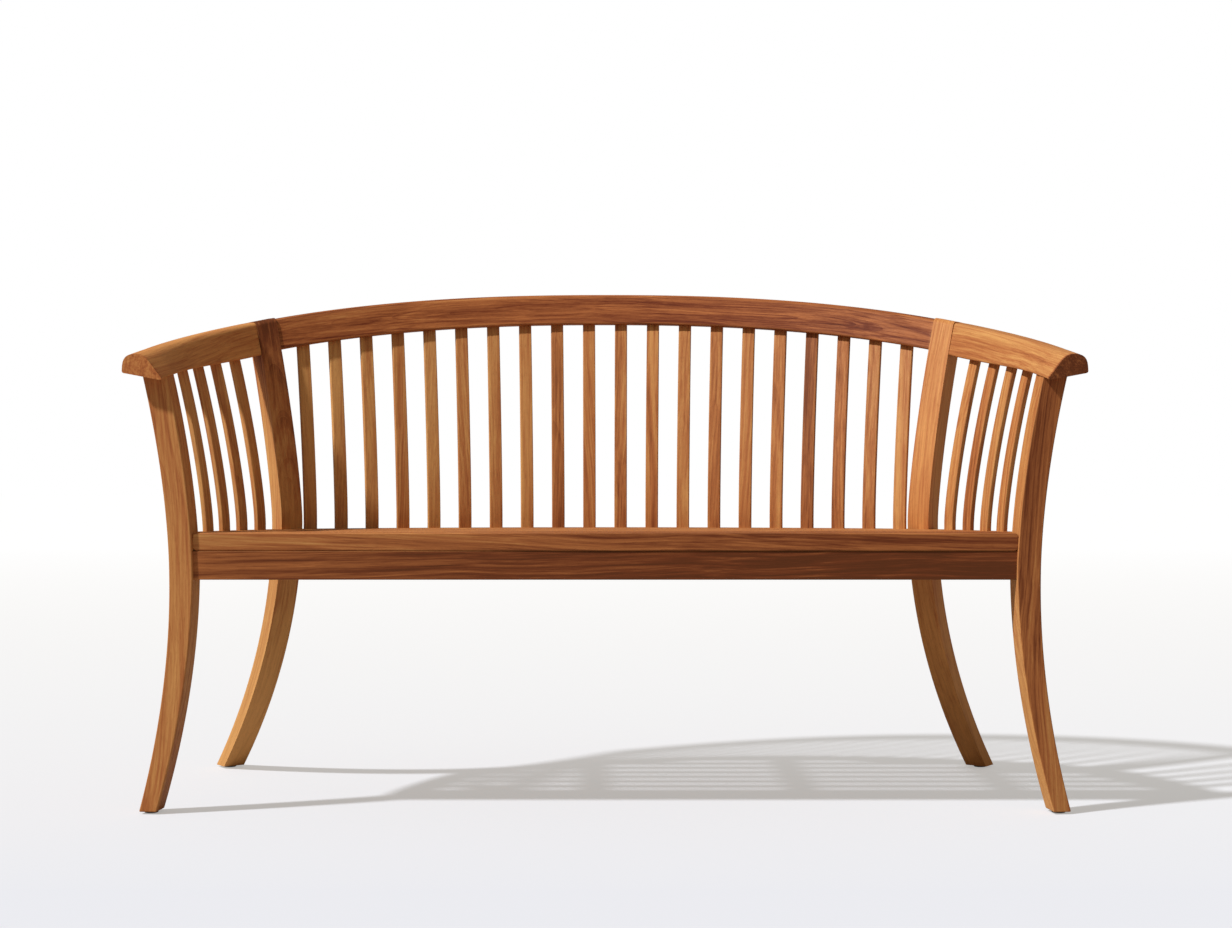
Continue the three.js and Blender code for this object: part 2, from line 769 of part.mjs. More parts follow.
const bench = new THREE.Group();
function addPiece(name, solid, material) {
  const mesh = new THREE.Mesh(geometryOf(solid), material);
  mesh.name = name;
  bench.add(mesh);
}
function addPair(name, solid, material, suffix = '') {
  addPiece(`${name}_right${suffix}`, solid, material);
  addPiece(`${name}_left${suffix}`, mirrored(solid), material);
}

addPair('front_leg', frontLeg(), teak);
addPair('rear_leg', rearLeg(), teak);
addPiece('crest_rail', crestRail(), teak);
addPair('arm_rail', armRail(), teak);
backSlatPlaces.forEach((t, place) => {
  addPiece(`back_slat_${String(place + 1).padStart(2, '0')}`, backSlat(t, 0), teak);
});
sideSlatPlaces.forEach((t, place) => addPair('side_slat', sideSlat(t, 0), teak, `_${place + 1}`));
addPiece('rear_seat_rail', rearSeatRail(), teak);
addPair('side_seat_rail', sideSeatRail(), teak);
addPiece('front_apron', frontApron(), teak);
addPiece('front_seat_board', frontBoard(), teak);
for (let count = 0; count < seatSlatCount; count++) {
  addPiece(`seat_slat_${count + 1}`, seatSlat(count), teak);
}
['left', 'centre', 'right'].forEach((name, place) => {
  addPiece(`seat_bearer_${name}`, bearer(bearerPlaces[place], 0), teak);
});
addPair('bolt_cover', boltCover(), teak);
addPair('foot_glide_front', glide(frontLegPlace, frontBow), darkPad);
addPair('foot_glide_rear', glide(rearLegPlace, rearBow), darkPad);

// Puts the middle of the bench over the origin
const extent = new THREE.Box3().setFromObject(bench);
bench.position.y = -(extent.min.y + extent.max.y) / 2;

export default bench;
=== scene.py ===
"""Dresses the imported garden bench: teak pieces with their grain, dark foot pads and a pale studio."""
import math
import random

import bmesh
import bpy
from bpy.props import FloatProperty, FloatVectorProperty, IntProperty, PointerProperty
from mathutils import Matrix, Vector


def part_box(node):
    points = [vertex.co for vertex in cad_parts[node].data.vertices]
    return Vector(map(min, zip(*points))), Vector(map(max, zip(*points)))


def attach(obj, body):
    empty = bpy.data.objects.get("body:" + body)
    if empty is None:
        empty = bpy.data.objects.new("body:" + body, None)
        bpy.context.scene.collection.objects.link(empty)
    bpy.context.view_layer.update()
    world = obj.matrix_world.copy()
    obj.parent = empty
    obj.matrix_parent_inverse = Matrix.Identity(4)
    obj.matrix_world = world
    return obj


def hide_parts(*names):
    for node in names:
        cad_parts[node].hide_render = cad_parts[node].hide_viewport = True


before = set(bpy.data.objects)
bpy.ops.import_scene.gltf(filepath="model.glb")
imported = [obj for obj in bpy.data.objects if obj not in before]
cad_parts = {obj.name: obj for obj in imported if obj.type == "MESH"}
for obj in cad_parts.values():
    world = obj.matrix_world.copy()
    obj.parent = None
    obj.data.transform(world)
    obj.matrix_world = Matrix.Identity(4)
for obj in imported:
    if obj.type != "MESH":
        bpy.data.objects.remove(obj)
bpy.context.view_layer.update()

bl_info = {
    "name": "Curved garden bench",
    "version": (1, 0, 0),
    "blender": (4, 5, 0),
    "location": "3D View > Sidebar > Bench",
    "description": "Builds a curved, slatted teak bench and a pale studio around it",
    "category": "Add Mesh",
}

BODY = "root"
MM = 0.001
FIT = 0.3 * MM

LEFT = -1
RIGHT = 1

# Directions of the legs in plan, and the share by which the back slats are kept from fanning out
REAR_LEG_TURN = math.radians(35)
FRONT_LEG_TURN = math.radians(83.5)
GATHER_SHARE = 0.4

# How steeply the rails and legs bend
CREST_POWER = 2.2
REAR_LEAN_POWER = 1.38
FRONT_LEAN_POWER = 1.76
SPLAY_POWER = 1.93
SLOPE_STEP = 0.6 * MM

# Numbers of steps in the curved pieces
CREST_STEPS = 120
ARM_STEPS = 60
SIDE_RAIL_STEPS = 40
LEG_STEPS = 64
SLAT_STEPS = 26
ROUND_STEPS = 6
TOP_STEPS = 8
TURNED_SIDES = 48
DOME_STEPS = 12
SEAT_SIDE_STEPS = 24
SEAT_BACK_STEPS = 60

# How sharply a surface has to turn: to be eased, to keep a crease in its shading, to be fully worn and lit
# with a painted highlight
EASED_ANGLE = math.radians(38)
BOARD_EASED_ANGLE = math.radians(60)
CREASE_ANGLE = math.radians(42)
WORN_AND_LIT_ANGLE = math.radians(30)

# The end of an arm: how far its section reaches from the line of the rail, and how deep it is
ARM_INSIDE = 37 * MM
ARM_OUTSIDE = 33 * MM
ARM_TOP_INSIDE = 3 * MM
ARM_TOP_OUTSIDE = 31 * MM
ARM_HEIGHT = 43 * MM
ARM_TIP_HEIGHT = 30 * MM

# How far the rounds reach from the corners of that section: on the rail, and at the end of the arm
INNER_LOW_ROUND = (5 * MM, 9 * MM)
OUTER_LOW_ROUND = (5 * MM, 4 * MM)
OUTER_TOP_ROUND = (9 * MM, 19 * MM)
INNER_TOP_ROUND = (9 * MM, 14 * MM)

# How the tops of the legs end
REAR_TOP_ROUND = 9 * MM
REAR_TOP_BELOW = 22 * MM
FRONT_TOP_BELOW = 12 * MM
FRONT_TOP_INTO_ARM = 3 * MM

# How far to each side the strips run that the seat's boards are cut from, and how close together
# the points of their outlines may lie
STRIP_REACH = 0.8
BOARD_POINTS_APART = 12 * MM
SEAT_SLAT_POINTS_APART = 4 * MM

# How far the sharp edges are eased
CREST_EDGE = 0.9 * MM
ARM_EDGE = 2 * MM
LEG_EDGE = 2.2 * MM
SLAT_EDGE = 1.8 * MM
BOARD_EDGE = 2.5 * MM
BOARD_END_EDGE = 7 * MM
APRON_EDGE = 1.3 * MM
SEAT_SLAT_EDGE = 2.4 * MM
BEARER_EDGE = 0.9 * MM
SEAT_RAIL_EDGE = 1.5 * MM

# How light the wood is at the start, middle and end of its grain, and how red it is. Beside the wood's own
# tone, the lightness holds painted light and shade: the board and the front legs are painted darker to the
# right as the light falls off, the apron darker still with painted shade as if in the board's shadow, the
# rear legs painted lighter at the foot as if lit under the seat and the left one dark at its top as if in
# shade, and the left arm painted lighter where it lies in shade
CREST_TONE = (-0.14, -0.24, -0.3, 0.45)
ARM_TONES_WITH_PAINTED_LIGHT = {LEFT: (0.32, 0.34, 0.32, 0.75), RIGHT: (0.1, 0.14, 0.16, 0.1)}
REAR_LEG_TONES_WITH_PAINTED_LIGHT = {LEFT: (0.72, 0.34, -0.52, 0.2), RIGHT: (0.6, 0.28, 0.3, 0.75)}
FRONT_LEG_TONES_WITH_PAINTED_LIGHT = {LEFT: (-0.04, 0.28, 0.08, 0.45), RIGHT: (0.04, -0.16, -0.32, 0.4)}
BOARD_TONE_WITH_PAINTED_LIGHT = (0.12, -0.28, -0.26, 0.35)
APRON_TONE_WITH_PAINTED_SHADE = (-0.2, -0.6, -0.68, 0.45)
BEARER_TONE = (0.0, 0.0, 0.0, 0.2)
REAR_RAIL_TONE = (-0.06, -0.03, 0.0, 0.3)
SIDE_RAIL_TONES = {LEFT: (0.0, 0.0, -0.03, 0.3), RIGHT: (0.0, 0.0, 0.03, 0.3)}
COVER_TONE = (0.0, 0.0, 0.0, 0.25)

# Painted light and shade on single faces: how much lighter or darker they are than the rest of their piece.
# The arms' end cuts are darker as end grain is, the right one darker still with painted shade, and one face
# of a leg is painted lighter as if lit
ARM_END_GRAIN_AND_PAINTED_SHADE = {LEFT: -0.3, RIGHT: -0.68}
INNER_FACE_PAINTED_LIGHT = 0.45
FRONT_FACE_PAINTED_LIGHT = 0.34

# How near to a leg's face a point counts as on it, as a share of the way from the leg's middle
ON_INNER_FACE = 0.97
ON_FRONT_FACE = 0.98

# The upright slats' lightness, its fall to the right end of the back, which is painted light that leaves the
# back lighter at its left end and darker at its right, their stray and their redness
BACK_SLAT_LIGHTNESS = 0.07
BACK_SLAT_PAINTED_LIGHT_FALL = 0.27
SIDE_SLAT_LIGHTNESS = {LEFT: 0.21, RIGHT: 0.05}
SLAT_STRAY = 0.12
SLAT_REDNESS = 0.35
LAST_SLAT_TONE = (0.2, 0.2, 0.0)
SLAT_SEED = 11

# The seat slats' stray from the middle lightness, and their redness
SEAT_SLAT_STRAY = 0.1
SEAT_SLAT_REDNESS = 0.4
SEAT_SLAT_SEED = 5

# How far away the heart of the tree lay, where along it and how far off its line a piece was cut,
# and by which share of their bow the grain of the legs is bent
PITH_AWAY = (0.04, 0.11)
PITH_ALONG = (2, 60)
PITH_TILT = (0.012, 0.05)
REAR_GRAIN_BEND = 0.9
FRONT_GRAIN_BEND = 0.5

# How often the parts of the grain repeat in a metre: across it, and along it
SWAY = (6.0, 2.2)
SWING = (6.0, 3.1)
RINGS = (165.0, 0.9)
BROAD_BANDS = (60.0, 1.7)
STREAKS = (260.0, 5.0)
FIBRES = (1500.0, 22.0)
PORES = (2300.0, 90.0)

# How far the heart wavers, and how much each part of the grain darkens the wood
SWAY_REACH = 0.03
SWING_REACH = 0.024
RINGS_DEPTH = 0.8
LATE_DEPTH = 0.18
BROAD_DEPTH = 0.75
STREAKS_DEPTH = 1.15
FIBRES_DEPTH = 0.55
MEAN_DEPTH = 0.45

# The studio's light, and how much the floor shows of itself
SUN_STRENGTH = 3.4
SUN_WIDTH = math.radians(3.4)
SUN_COLOUR = (1.0, 0.995, 0.985)
SUN_FROM = (-0.911, -0.413, 1.11)
SKY_STRENGTH = 0.25
SKY_COLOUR = (1.0, 0.9, 0.78, 1.0)
WHITE = (1.0, 1.0, 1.0, 1.0)
FLOOR_HALF = 30.0
FLOOR_DROP = 0.4 * MM
FLOOR_BOUNCE = (0.44, 0.41, 0.39)
FAR_START = 0.57
FAR_DEPTH = 10.4
FAR_POWER = 0.6
NEAR_GLOW = 0.33
FAR_GLOW = 0.6

# The camera, in millimetres on its sensor and in metres
SENSOR_WIDTH = 36.0
LENS = 56.89
LENS_SHIFT = 0.0089
CAMERA_AWAY = 3.14
EYE_HEIGHT = 0.5625


def length(name, description, default):
    """A size in metres that can be changed in the sidebar."""
    return FloatProperty(name=name, description=description, default=default, unit="LENGTH", precision=4)


class BenchSizes(bpy.types.PropertyGroup):
    """Sizes of the bench"""

    front_leg_half_spacing: length("Front legs", "From the middle of the bench to a front leg", 0.678)
    rear_leg_half_spacing: length("Rear legs", "From the middle of the bench to a rear leg", 0.559)
    legs_apart: length("Legs apart", "From the front legs back to the rear legs", 0.285)
    back_radius: length("Back radius", "Radius of the back's curve in plan", 1.1)
    side_radius: length("Side radius", "Radius of each side's curve in plan", 0.88)
    seat_height: length("Seat height", "Top of the seat above the ground", 0.452)
    rail_rise: length("Rail rise", "Middle of the top rail above the seat", 0.432)
    shoulder_drop: length("Shoulder drop", "Fall of the top rail from its middle to the rear legs", 0.062)
    arm_drop: length("Arm drop", "Fall of the top rail from the rear legs to the end of the arm", 0.084)
    rear_waist_rise: length("Rear waist", "Narrowest height of the rear legs above the seat", 0.012)
    rear_lean: length("Rear lean", "How far the rear legs lean out above their waist", 0.125)
    rear_splay: length("Rear splay", "How far the rear feet stand outside their waist", 0.244)
    front_waist_drop: length("Front waist", "Narrowest height of the front legs below the seat", 0.075)
    front_lean: length("Front lean", "How far the front legs lean out above their waist", 0.062)
    front_splay: length("Front splay", "How far the front feet stand outside their waist", 0.056)
    lean_rise: length("Lean rise", "Rise over which the legs reach their full lean", 0.4)
    leg_width: length("Leg width", "Width of each leg along the rails", 0.04)
    leg_depth: length("Leg depth", "Depth of each leg across the rails", 0.039)
    front_foot_depth: length("Front foot", "Depth of a front leg at the ground", 0.028)
    rear_foot_depth: length("Rear foot", "Depth of a rear leg at the ground", 0.023)
    rail_thickness: length("Rail thickness", "Thickness of the top rail", 0.034)
    rail_height: length("Rail height", "Height of the top rail", 0.058)
    arm_overhang: length("Arm overhang", "How far the arm runs on in front of the front leg", 0.05)
    slat_width: length("Slat width", "Width of an upright slat", 0.023)
    slat_thickness: length("Slat thickness", "Thickness of an upright slat", 0.009)
    back_slat_end: length("Back slat end", "From a rear leg to the first slat of the back", 0.043)
    side_slat_rear: length("Side slat rear", "From a rear leg to the first slat of the side", 0.072)
    side_slat_front: length("Side slat front", "From a front leg to the last slat of the side", 0.087)
    seat_rail_height: length("Seat rail height", "Height of the rails under the slats", 0.07)
    board_depth: length("Board depth", "Depth of the board at the front of the seat", 0.082)
    board_thickness: length("Board thickness", "Thickness of that board", 0.029)
    apron_height: length("Apron height", "Height of the apron under that board", 0.046)
    seat_slat_gap: length("Seat slat gap", "Gap between the slats of the seat", 0.013)
    seat_slat_thickness: length("Seat slat thickness", "Thickness of the slats of the seat", 0.014)
    seat_rake: length("Seat rake", "Fall of the seat from front to back", 0.006)
    back_slat_count: IntProperty(name="Back slats", description="Number of slats in the back", default=20)
    side_slat_count: IntProperty(name="Side slats", description="Number of slats in each side", default=4)
    seat_slat_count: IntProperty(name="Seat slats", description="Number of slats in the seat", default=7)


def colour(name, description, default):
    """A colour that can be changed in the sidebar."""
    return FloatVectorProperty(name=name, description=description, default=default, subtype="COLOR",
                               size=3, min=0.0, max=1.0)


class BenchColours(bpy.types.PropertyGroup):
    """Colours of the bench and the studio"""

    teak_light: colour("Light teak", "Early wood between the dark lines of the grain", (0.67, 0.352, 0.12))
    teak_middle: colour("Middle teak", "Most of the wood", (0.45, 0.163, 0.053))
    teak_dark: colour("Dark teak", "Late wood in the lines of the grain", (0.165, 0.036, 0.012))
    pad: colour("Foot pads", "Moulded pads under the feet", (0.03, 0.027, 0.024))
    floor_near: colour("Near floor", "Floor in front of the bench", (0.8, 0.84, 0.95))
    floor_glow: colour("Near glow", "What the near floor shows of itself, even in shade", (0.83, 0.81, 0.77))
    floor_far: colour("Far floor", "Floor behind the bench", (1.0, 1.0, 1.0))


class Term:
    """One socket in a node tree, on which sums add Math nodes."""

    def __init__(self, graph, socket):
        self.graph = graph
        self.socket = socket

    def math(self, operation, *others):
        return self.graph.math(operation, self, *others)

    def __add__(self, other):
        return self.math("ADD", other)

    __radd__ = __add__

    def __sub__(self, other):
        return self.math("SUBTRACT", other)

    def __rsub__(self, other):
        return self.graph.math("SUBTRACT", other, self)

    def __mul__(self, other):
        return self.math("MULTIPLY", other)

    __rmul__ = __mul__

    def __truediv__(self, other):
        return self.math("DIVIDE", other)

    def __rtruediv__(self, other):
        return self.graph.math("DIVIDE", other, self)

    def __pow__(self, other):
        return self.math("POWER", other)

    def clamped(self, low=0.0, high=1.0):
        return self.math("MAXIMUM", low).math("MINIMUM", high)


class Graph:
    """Adds nodes to one tree."""

    def __init__(self, tree):
        self.tree = tree

    def node(self, kind, settings=None, sockets=None, output=0):
        made = self.tree.nodes.new(kind)
        for name, value in (settings or {}).items():
            if name == "stops":
                self.set_stops(made.color_ramp, value)
            else:
                setattr(made, name, value)
        for name, value in (sockets or {}).items():
            if isinstance(value, Term):
                self.tree.links.new(value.socket, made.inputs[name])
            else:
                made.inputs[name].default_value = value
        return Term(self, made.outputs[output]) if made.outputs else made

    def math(self, operation, *values):
        return self.node("ShaderNodeMath", {"operation": operation}, dict(enumerate(values)))

    @staticmethod
    def set_stops(ramp, stops):
        while len(ramp.elements) < len(stops):
            ramp.elements.new(1.0)
        for element, (position, value) in zip(ramp.elements, stops):
            element.position = position
            element.color = (*value, 1.0)

    def vector(self, x, y, z):
        return self.node("ShaderNodeCombineXYZ", None, {0: x, 1: y, 2: z})

    def parts(self, vector):
        split = self.node("ShaderNodeSeparateXYZ", None, {0: vector})
        return [Term(self, socket) for socket in split.socket.node.outputs]

    def noise(self, vector, scale, detail=3.0, roughness=0.55):
        return self.node("ShaderNodeTexNoise", None, {
            "Vector": vector, "Scale": scale, "Detail": detail, "Roughness": roughness})

    def mix(self, share, low, high, blend="MIX"):
        made = self.node("ShaderNodeMix", {"data_type": "RGBA", "blend_type": blend}, {0: share})
        mixer = made.socket.node
        for place, value in ((6, low), (7, high)):
            if isinstance(value, Term):
                self.tree.links.new(value.socket, mixer.inputs[place])
            else:
                mixer.inputs[place].default_value = (*value, 1.0)
        return Term(self, mixer.outputs[2])


def empty_graph(owner):
    """Clears the nodes of a material or world, ready for new ones."""
    owner.use_nodes = True
    owner.node_tree.nodes.clear()
    return Graph(owner.node_tree)


class Place:
    """A place on the plan of the bench, with the direction that faces outwards there."""

    def __init__(self, x, y, angle):
        self.x = x
        self.y = y
        self.sine = math.sin(angle)
        self.cosine = math.cos(angle)
        self.angle = angle

    def point(self, outward, up, along=0.0):
        return Vector((
            self.x + outward * self.sine + along * self.cosine,
            self.y + outward * self.cosine - along * self.sine,
            up,
        ))

    def forward(self):
        return Vector((self.cosine, -self.sine, 0.0))

    def local(self, point):
        east = point.x - self.x
        north = point.y - self.y
        outward = east * self.sine + north * self.cosine
        along = east * self.cosine - north * self.sine
        return Vector((along, outward, point.z))


class Bench:
    """The curves that all pieces of the bench follow."""

    board_set_back = 1 * MM
    apron_set_back = 3 * MM
    apron_thickness = 24 * MM
    rebate = 9 * MM
    slat_end_gap = 1 * MM
    slat_housing = 12 * MM
    seat_rail_outside = 13 * MM
    glide_thickness = 3 * MM

    def __init__(self, sizes):
        self.sizes = s = sizes
        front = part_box("front_seat_board")[0].y
        self.shift = front + s.leg_width / 2 - self.board_set_back
        self.back_half_angle = math.asin(s.rear_leg_half_spacing / s.back_radius)
        self.back_half_arc = s.back_radius * self.back_half_angle
        self.back_sagitta = s.back_radius * (1 - math.cos(self.back_half_angle))
        step_out = s.front_leg_half_spacing - s.rear_leg_half_spacing
        half = math.asin(math.hypot(step_out, s.legs_apart) / 2 / s.side_radius)
        self.side_start = math.atan2(s.legs_apart, step_out) - half
        self.side_arc = 2 * half * s.side_radius
        self.side_reach = self.side_arc + s.arm_overhang
        self.rear_waist = s.seat_height + s.rear_waist_rise
        self.front_waist = s.seat_height - s.front_waist_drop
        self.top = s.seat_height + s.rail_rise
        self.shoulder = self.top - s.shoulder_drop
        self.arm_start = -self.rear_bow(self.shoulder) * math.tan(self.side_start - REAR_LEG_TURN)
        self.arm_slope = s.arm_drop / (self.side_reach - self.arm_start)
        self.shoulder_slope = (CREST_POWER * s.shoulder_drop / self.back_half_arc + self.arm_slope) / 2
        self.front_leg = Place(s.front_leg_half_spacing, self.shift, FRONT_LEG_TURN)
        self.rear_leg = Place(s.rear_leg_half_spacing, self.shift + s.legs_apart, REAR_LEG_TURN)
        self.apron_top = s.seat_height - s.board_thickness - FIT
        self.apron_front = self.shift - s.leg_width / 2 + self.apron_set_back
        self.board_front = front
        self.board_back = front + s.board_depth

    def back_curve(self, t):
        radius = self.sizes.back_radius
        angle = t / radius
        y = self.sizes.legs_apart + radius * (math.cos(angle) - math.cos(self.back_half_angle))
        return Place(radius * math.sin(angle), y + self.shift, angle)

    def side_curve(self, t):
        radius = self.sizes.side_radius
        angle = self.side_start + t / radius
        x = self.sizes.rear_leg_half_spacing + radius * (math.sin(angle) - math.sin(self.side_start))
        y = self.sizes.legs_apart + radius * (math.cos(angle) - math.cos(self.side_start))
        return Place(x, y + self.shift, angle)

    def bow(self, z, waist, splay, lean, power):
        if z < waist:
            return splay * ((waist - z) / waist) ** SPLAY_POWER
        return lean * ((z - waist) / self.sizes.lean_rise) ** power

    def rear_bow(self, z):
        return self.bow(z, self.rear_waist, self.sizes.rear_splay, self.sizes.rear_lean, REAR_LEAN_POWER)

    def front_bow(self, z):
        return self.bow(z, self.front_waist, self.sizes.front_splay, self.sizes.front_lean, FRONT_LEAN_POWER)

    def lean_at(self, z, front_share):
        rear = self.rear_bow(max(z, self.rear_waist))
        front = self.front_bow(max(z, self.front_waist))
        return rear + (front - rear) * front_share

    def seat_top(self, y):
        deep = self.sizes.legs_apart + self.back_sagitta
        return self.sizes.seat_height - self.sizes.seat_rake * clamp((y - self.shift) / deep)

    def side_share(self, t):
        return clamp(t / self.side_arc)

    def crest_top(self, t):
        return self.top - self.sizes.shoulder_drop * abs(t / self.back_half_arc) ** CREST_POWER

    def arm_top(self, t):
        return self.shoulder - self.arm_slope * (t - self.arm_start)

    def arm_share(self, t):
        share = clamp(t / self.side_reach)
        return share * share * (3 - 2 * share)


def clamp(value):
    return max(0.0, min(1.0, value))


def blend(low, high, share):
    return low + (high - low) * share


def slope_of(middle_at, z):
    return (middle_at(z + SLOPE_STEP / 2) - middle_at(z - SLOPE_STEP / 2)) / SLOPE_STEP


def spread(count, first, last):
    return [blend(first, last, step / (count - 1)) for step in range(count)]


def rounded(corners):
    """An outline whose corners are rounded, each corner given as (x, y, how far the round reaches)."""
    outline = []
    for place, (x, y, reach) in enumerate(corners):
        corner = Vector((x, y))
        before = Vector(corners[place - 1][:2])
        after = Vector(corners[(place + 1) % len(corners)][:2])
        start = corner + (before - corner).normalized() * reach
        end = corner + (after - corner).normalized() * reach
        for step in range(ROUND_STEPS + 1):
            share = step / ROUND_STEPS
            outline.append(start.lerp(corner, share).lerp(corner.lerp(end, share), share))
    return outline


def loft(rings):
    """A closed skin over rings of points."""
    bm = bmesh.new()
    made = [[bm.verts.new(point) for point in ring] for ring in rings]
    count = len(made[0])
    for near, far in zip(made, made[1:]):
        for corner in range(count):
            following = (corner + 1) % count
            bm.faces.new((near[corner], near[following], far[following], far[corner]))
    bm.faces.new(list(reversed(made[0])))
    bm.faces.new(made[-1])
    bmesh.ops.recalc_face_normals(bm, faces=bm.faces)
    return bm


def slab(outline, low_at, high_at):
    """A slab over an outline in plan, between two surfaces."""
    return loft([[Vector((p.x, p.y, level(p))) for p in outline] for level in (low_at, high_at)])


def cut_away(bm, point, normal):
    """Cuts off all that lies on the normal's side of a plane, and closes the cut."""
    everything = [*bm.verts, *bm.edges, *bm.faces]
    bmesh.ops.bisect_plane(bm, geom=everything, plane_co=point, plane_no=normal, clear_outer=True)
    open_edges = [edge for edge in bm.edges if edge.is_boundary]
    if open_edges:
        bmesh.ops.holes_fill(bm, edges=open_edges, sides=0)
    bmesh.ops.recalc_face_normals(bm, faces=bm.faces)


def ease(bm, width, steps=2, least_angle=EASED_ANGLE):
    """Rounds the edges that turn by more than an angle over by a width."""
    sharp = [edge for edge in bm.edges
             if len(edge.link_faces) == 2 and edge.calc_face_angle() > least_angle]
    bmesh.ops.bevel(bm, geom=sharp, offset=width, segments=steps, affect="EDGES", profile=0.5,
                    clamp_overlap=True)


def in_order(bm):
    """Sorts the faces by their points, because a bevel can leave them in another order each run."""
    bm.verts.index_update()
    count = len(bm.verts)

    def rank(face):
        first, second, third = sorted(vert.index for vert in face.verts)[:3]
        return (first * count + second) * count + third
    bm.faces.sort(key=rank)


def write_attribute(mesh, name, kind, values):
    layer = mesh.attributes.get(name) or mesh.attributes.new(name, kind, "POINT")
    layer.data.foreach_set("vector" if kind == "FLOAT_VECTOR" else "value", values)


def weigh_normals(mesh):
    """Lets flat faces stay flat beside their eased edges: each corner's normal is weighed by area."""
    least = math.cos(CREASE_ANGLE)
    bm = bmesh.new()
    bm.from_mesh(mesh)
    normals = []
    for face in bm.faces:
        for vert in face.verts:
            total = Vector((0.0, 0.0, 0.0))
            for other in vert.link_faces:
                if other.normal.dot(face.normal) > least:
                    total += other.normal * other.calc_area()
            normals.append(total.normalized())
    bm.free()
    mesh.normals_split_custom_set(normals)


def wear_and_highlight_of(mesh):
    """How strongly each point is worn and lit with a painted highlight: the sharper the turn of the surface
    there, the more.
    """
    bm = bmesh.new()
    bm.from_mesh(mesh)
    worn_and_lit = []
    for vert in bm.verts:
        turns = [edge.calc_face_angle() for edge in vert.link_edges if len(edge.link_faces) == 2]
        worn_and_lit.append(clamp(max(turns, default=0.0) / WORN_AND_LIT_ANGLE))
    bm.free()
    return worn_and_lit


class Pith:
    """Where the heart of the tree lay beside a piece, and how far the piece was cut off its line."""

    def __init__(self, chance):
        away = chance.uniform(*PITH_AWAY)
        angle = chance.uniform(0.0, 2 * math.pi)
        self.across = away * math.cos(angle)
        self.through = away * math.sin(angle)
        self.along = chance.uniform(*PITH_ALONG)
        self.tilt = [chance.choice((-1, 1)) * chance.uniform(*PITH_TILT) for _ in range(2)]

    def moved(self, point):
        return Vector((
            point.x + self.across + self.tilt[0] * point.z,
            point.y + self.through + self.tilt[1] * point.z,
            point.z + self.along,
        ))


def finish_piece(name, mesh, nodes, material):
    """Puts a finished mesh in the scene, as the piece that stands for the given nodes."""
    mesh.materials.clear()
    mesh.materials.append(material)
    mesh.shade_smooth()
    weigh_normals(mesh)
    write_attribute(mesh, "wear", "FLOAT", wear_and_highlight_of(mesh))
    piece = bpy.data.objects.new(name, mesh)
    bpy.context.scene.collection.objects.link(piece)
    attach(piece, BODY)
    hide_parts(*nodes)


def mirror(bm):
    """Turns a solid for the right of the bench into the one for its left."""
    bmesh.ops.scale(bm, vec=(-1, 1, 1), verts=bm.verts)
    bmesh.ops.reverse_faces(bm, faces=bm.faces)


def along_tone(tone, share):
    """The lightness at a share of the grain's run, from those at its start, middle and end."""
    if share < 0.5:
        return blend(tone[0], tone[1], 2 * share)
    return blend(tone[1], tone[2], 2 * share - 1)


def teak_piece(node, bm, grain_at, tone, side=RIGHT, end_grain_and_shade=0.0, painted_face_light=None):
    """Makes the teak piece that stands for a node, on the right or mirrored to the left.

    The tone is how light the wood is at the start, middle and end of its grain, and how red it is; on many
    pieces that lightness also holds painted light and shade. The end value is added on the cut at the far
    end of the grain, as darker end grain and painted shade, and the painted face light, a function of a
    point, where one face is painted lighter as if lit.
    """
    name = f"{node}_wood"
    pith = Pith(random.Random(name))
    grain = [grain_at(vert.co) for vert in bm.verts]
    added = [painted_face_light(vert.co) if painted_face_light else 0.0 for vert in bm.verts]
    first = min(point.z for point in grain)
    run = max(point.z for point in grain) - first
    tones = []
    for point, more in zip(grain, added):
        lightness = along_tone(tone, (point.z - first) / run) + more
        # The far end cut gets the end value: darker end grain, with painted shade on the right arm
        on_end = point.z > first + run - 0.1 * MM
        tones.append((lightness + end_grain_and_shade * on_end, tone[3], 0.0))
    grain = [pith.moved(point) for point in grain]
    if side == LEFT:
        mirror(bm)
    mesh = bpy.data.meshes.new(name)
    bm.to_mesh(mesh)
    bm.free()
    write_attribute(mesh, "grain", "FLOAT_VECTOR", [value for point in grain for value in point])
    write_attribute(mesh, "tone", "FLOAT_VECTOR", [value for point in tones for value in point])
    finish_piece(name, mesh, [node], teak())


def side_name(side):
    return "left" if side == LEFT else "right"


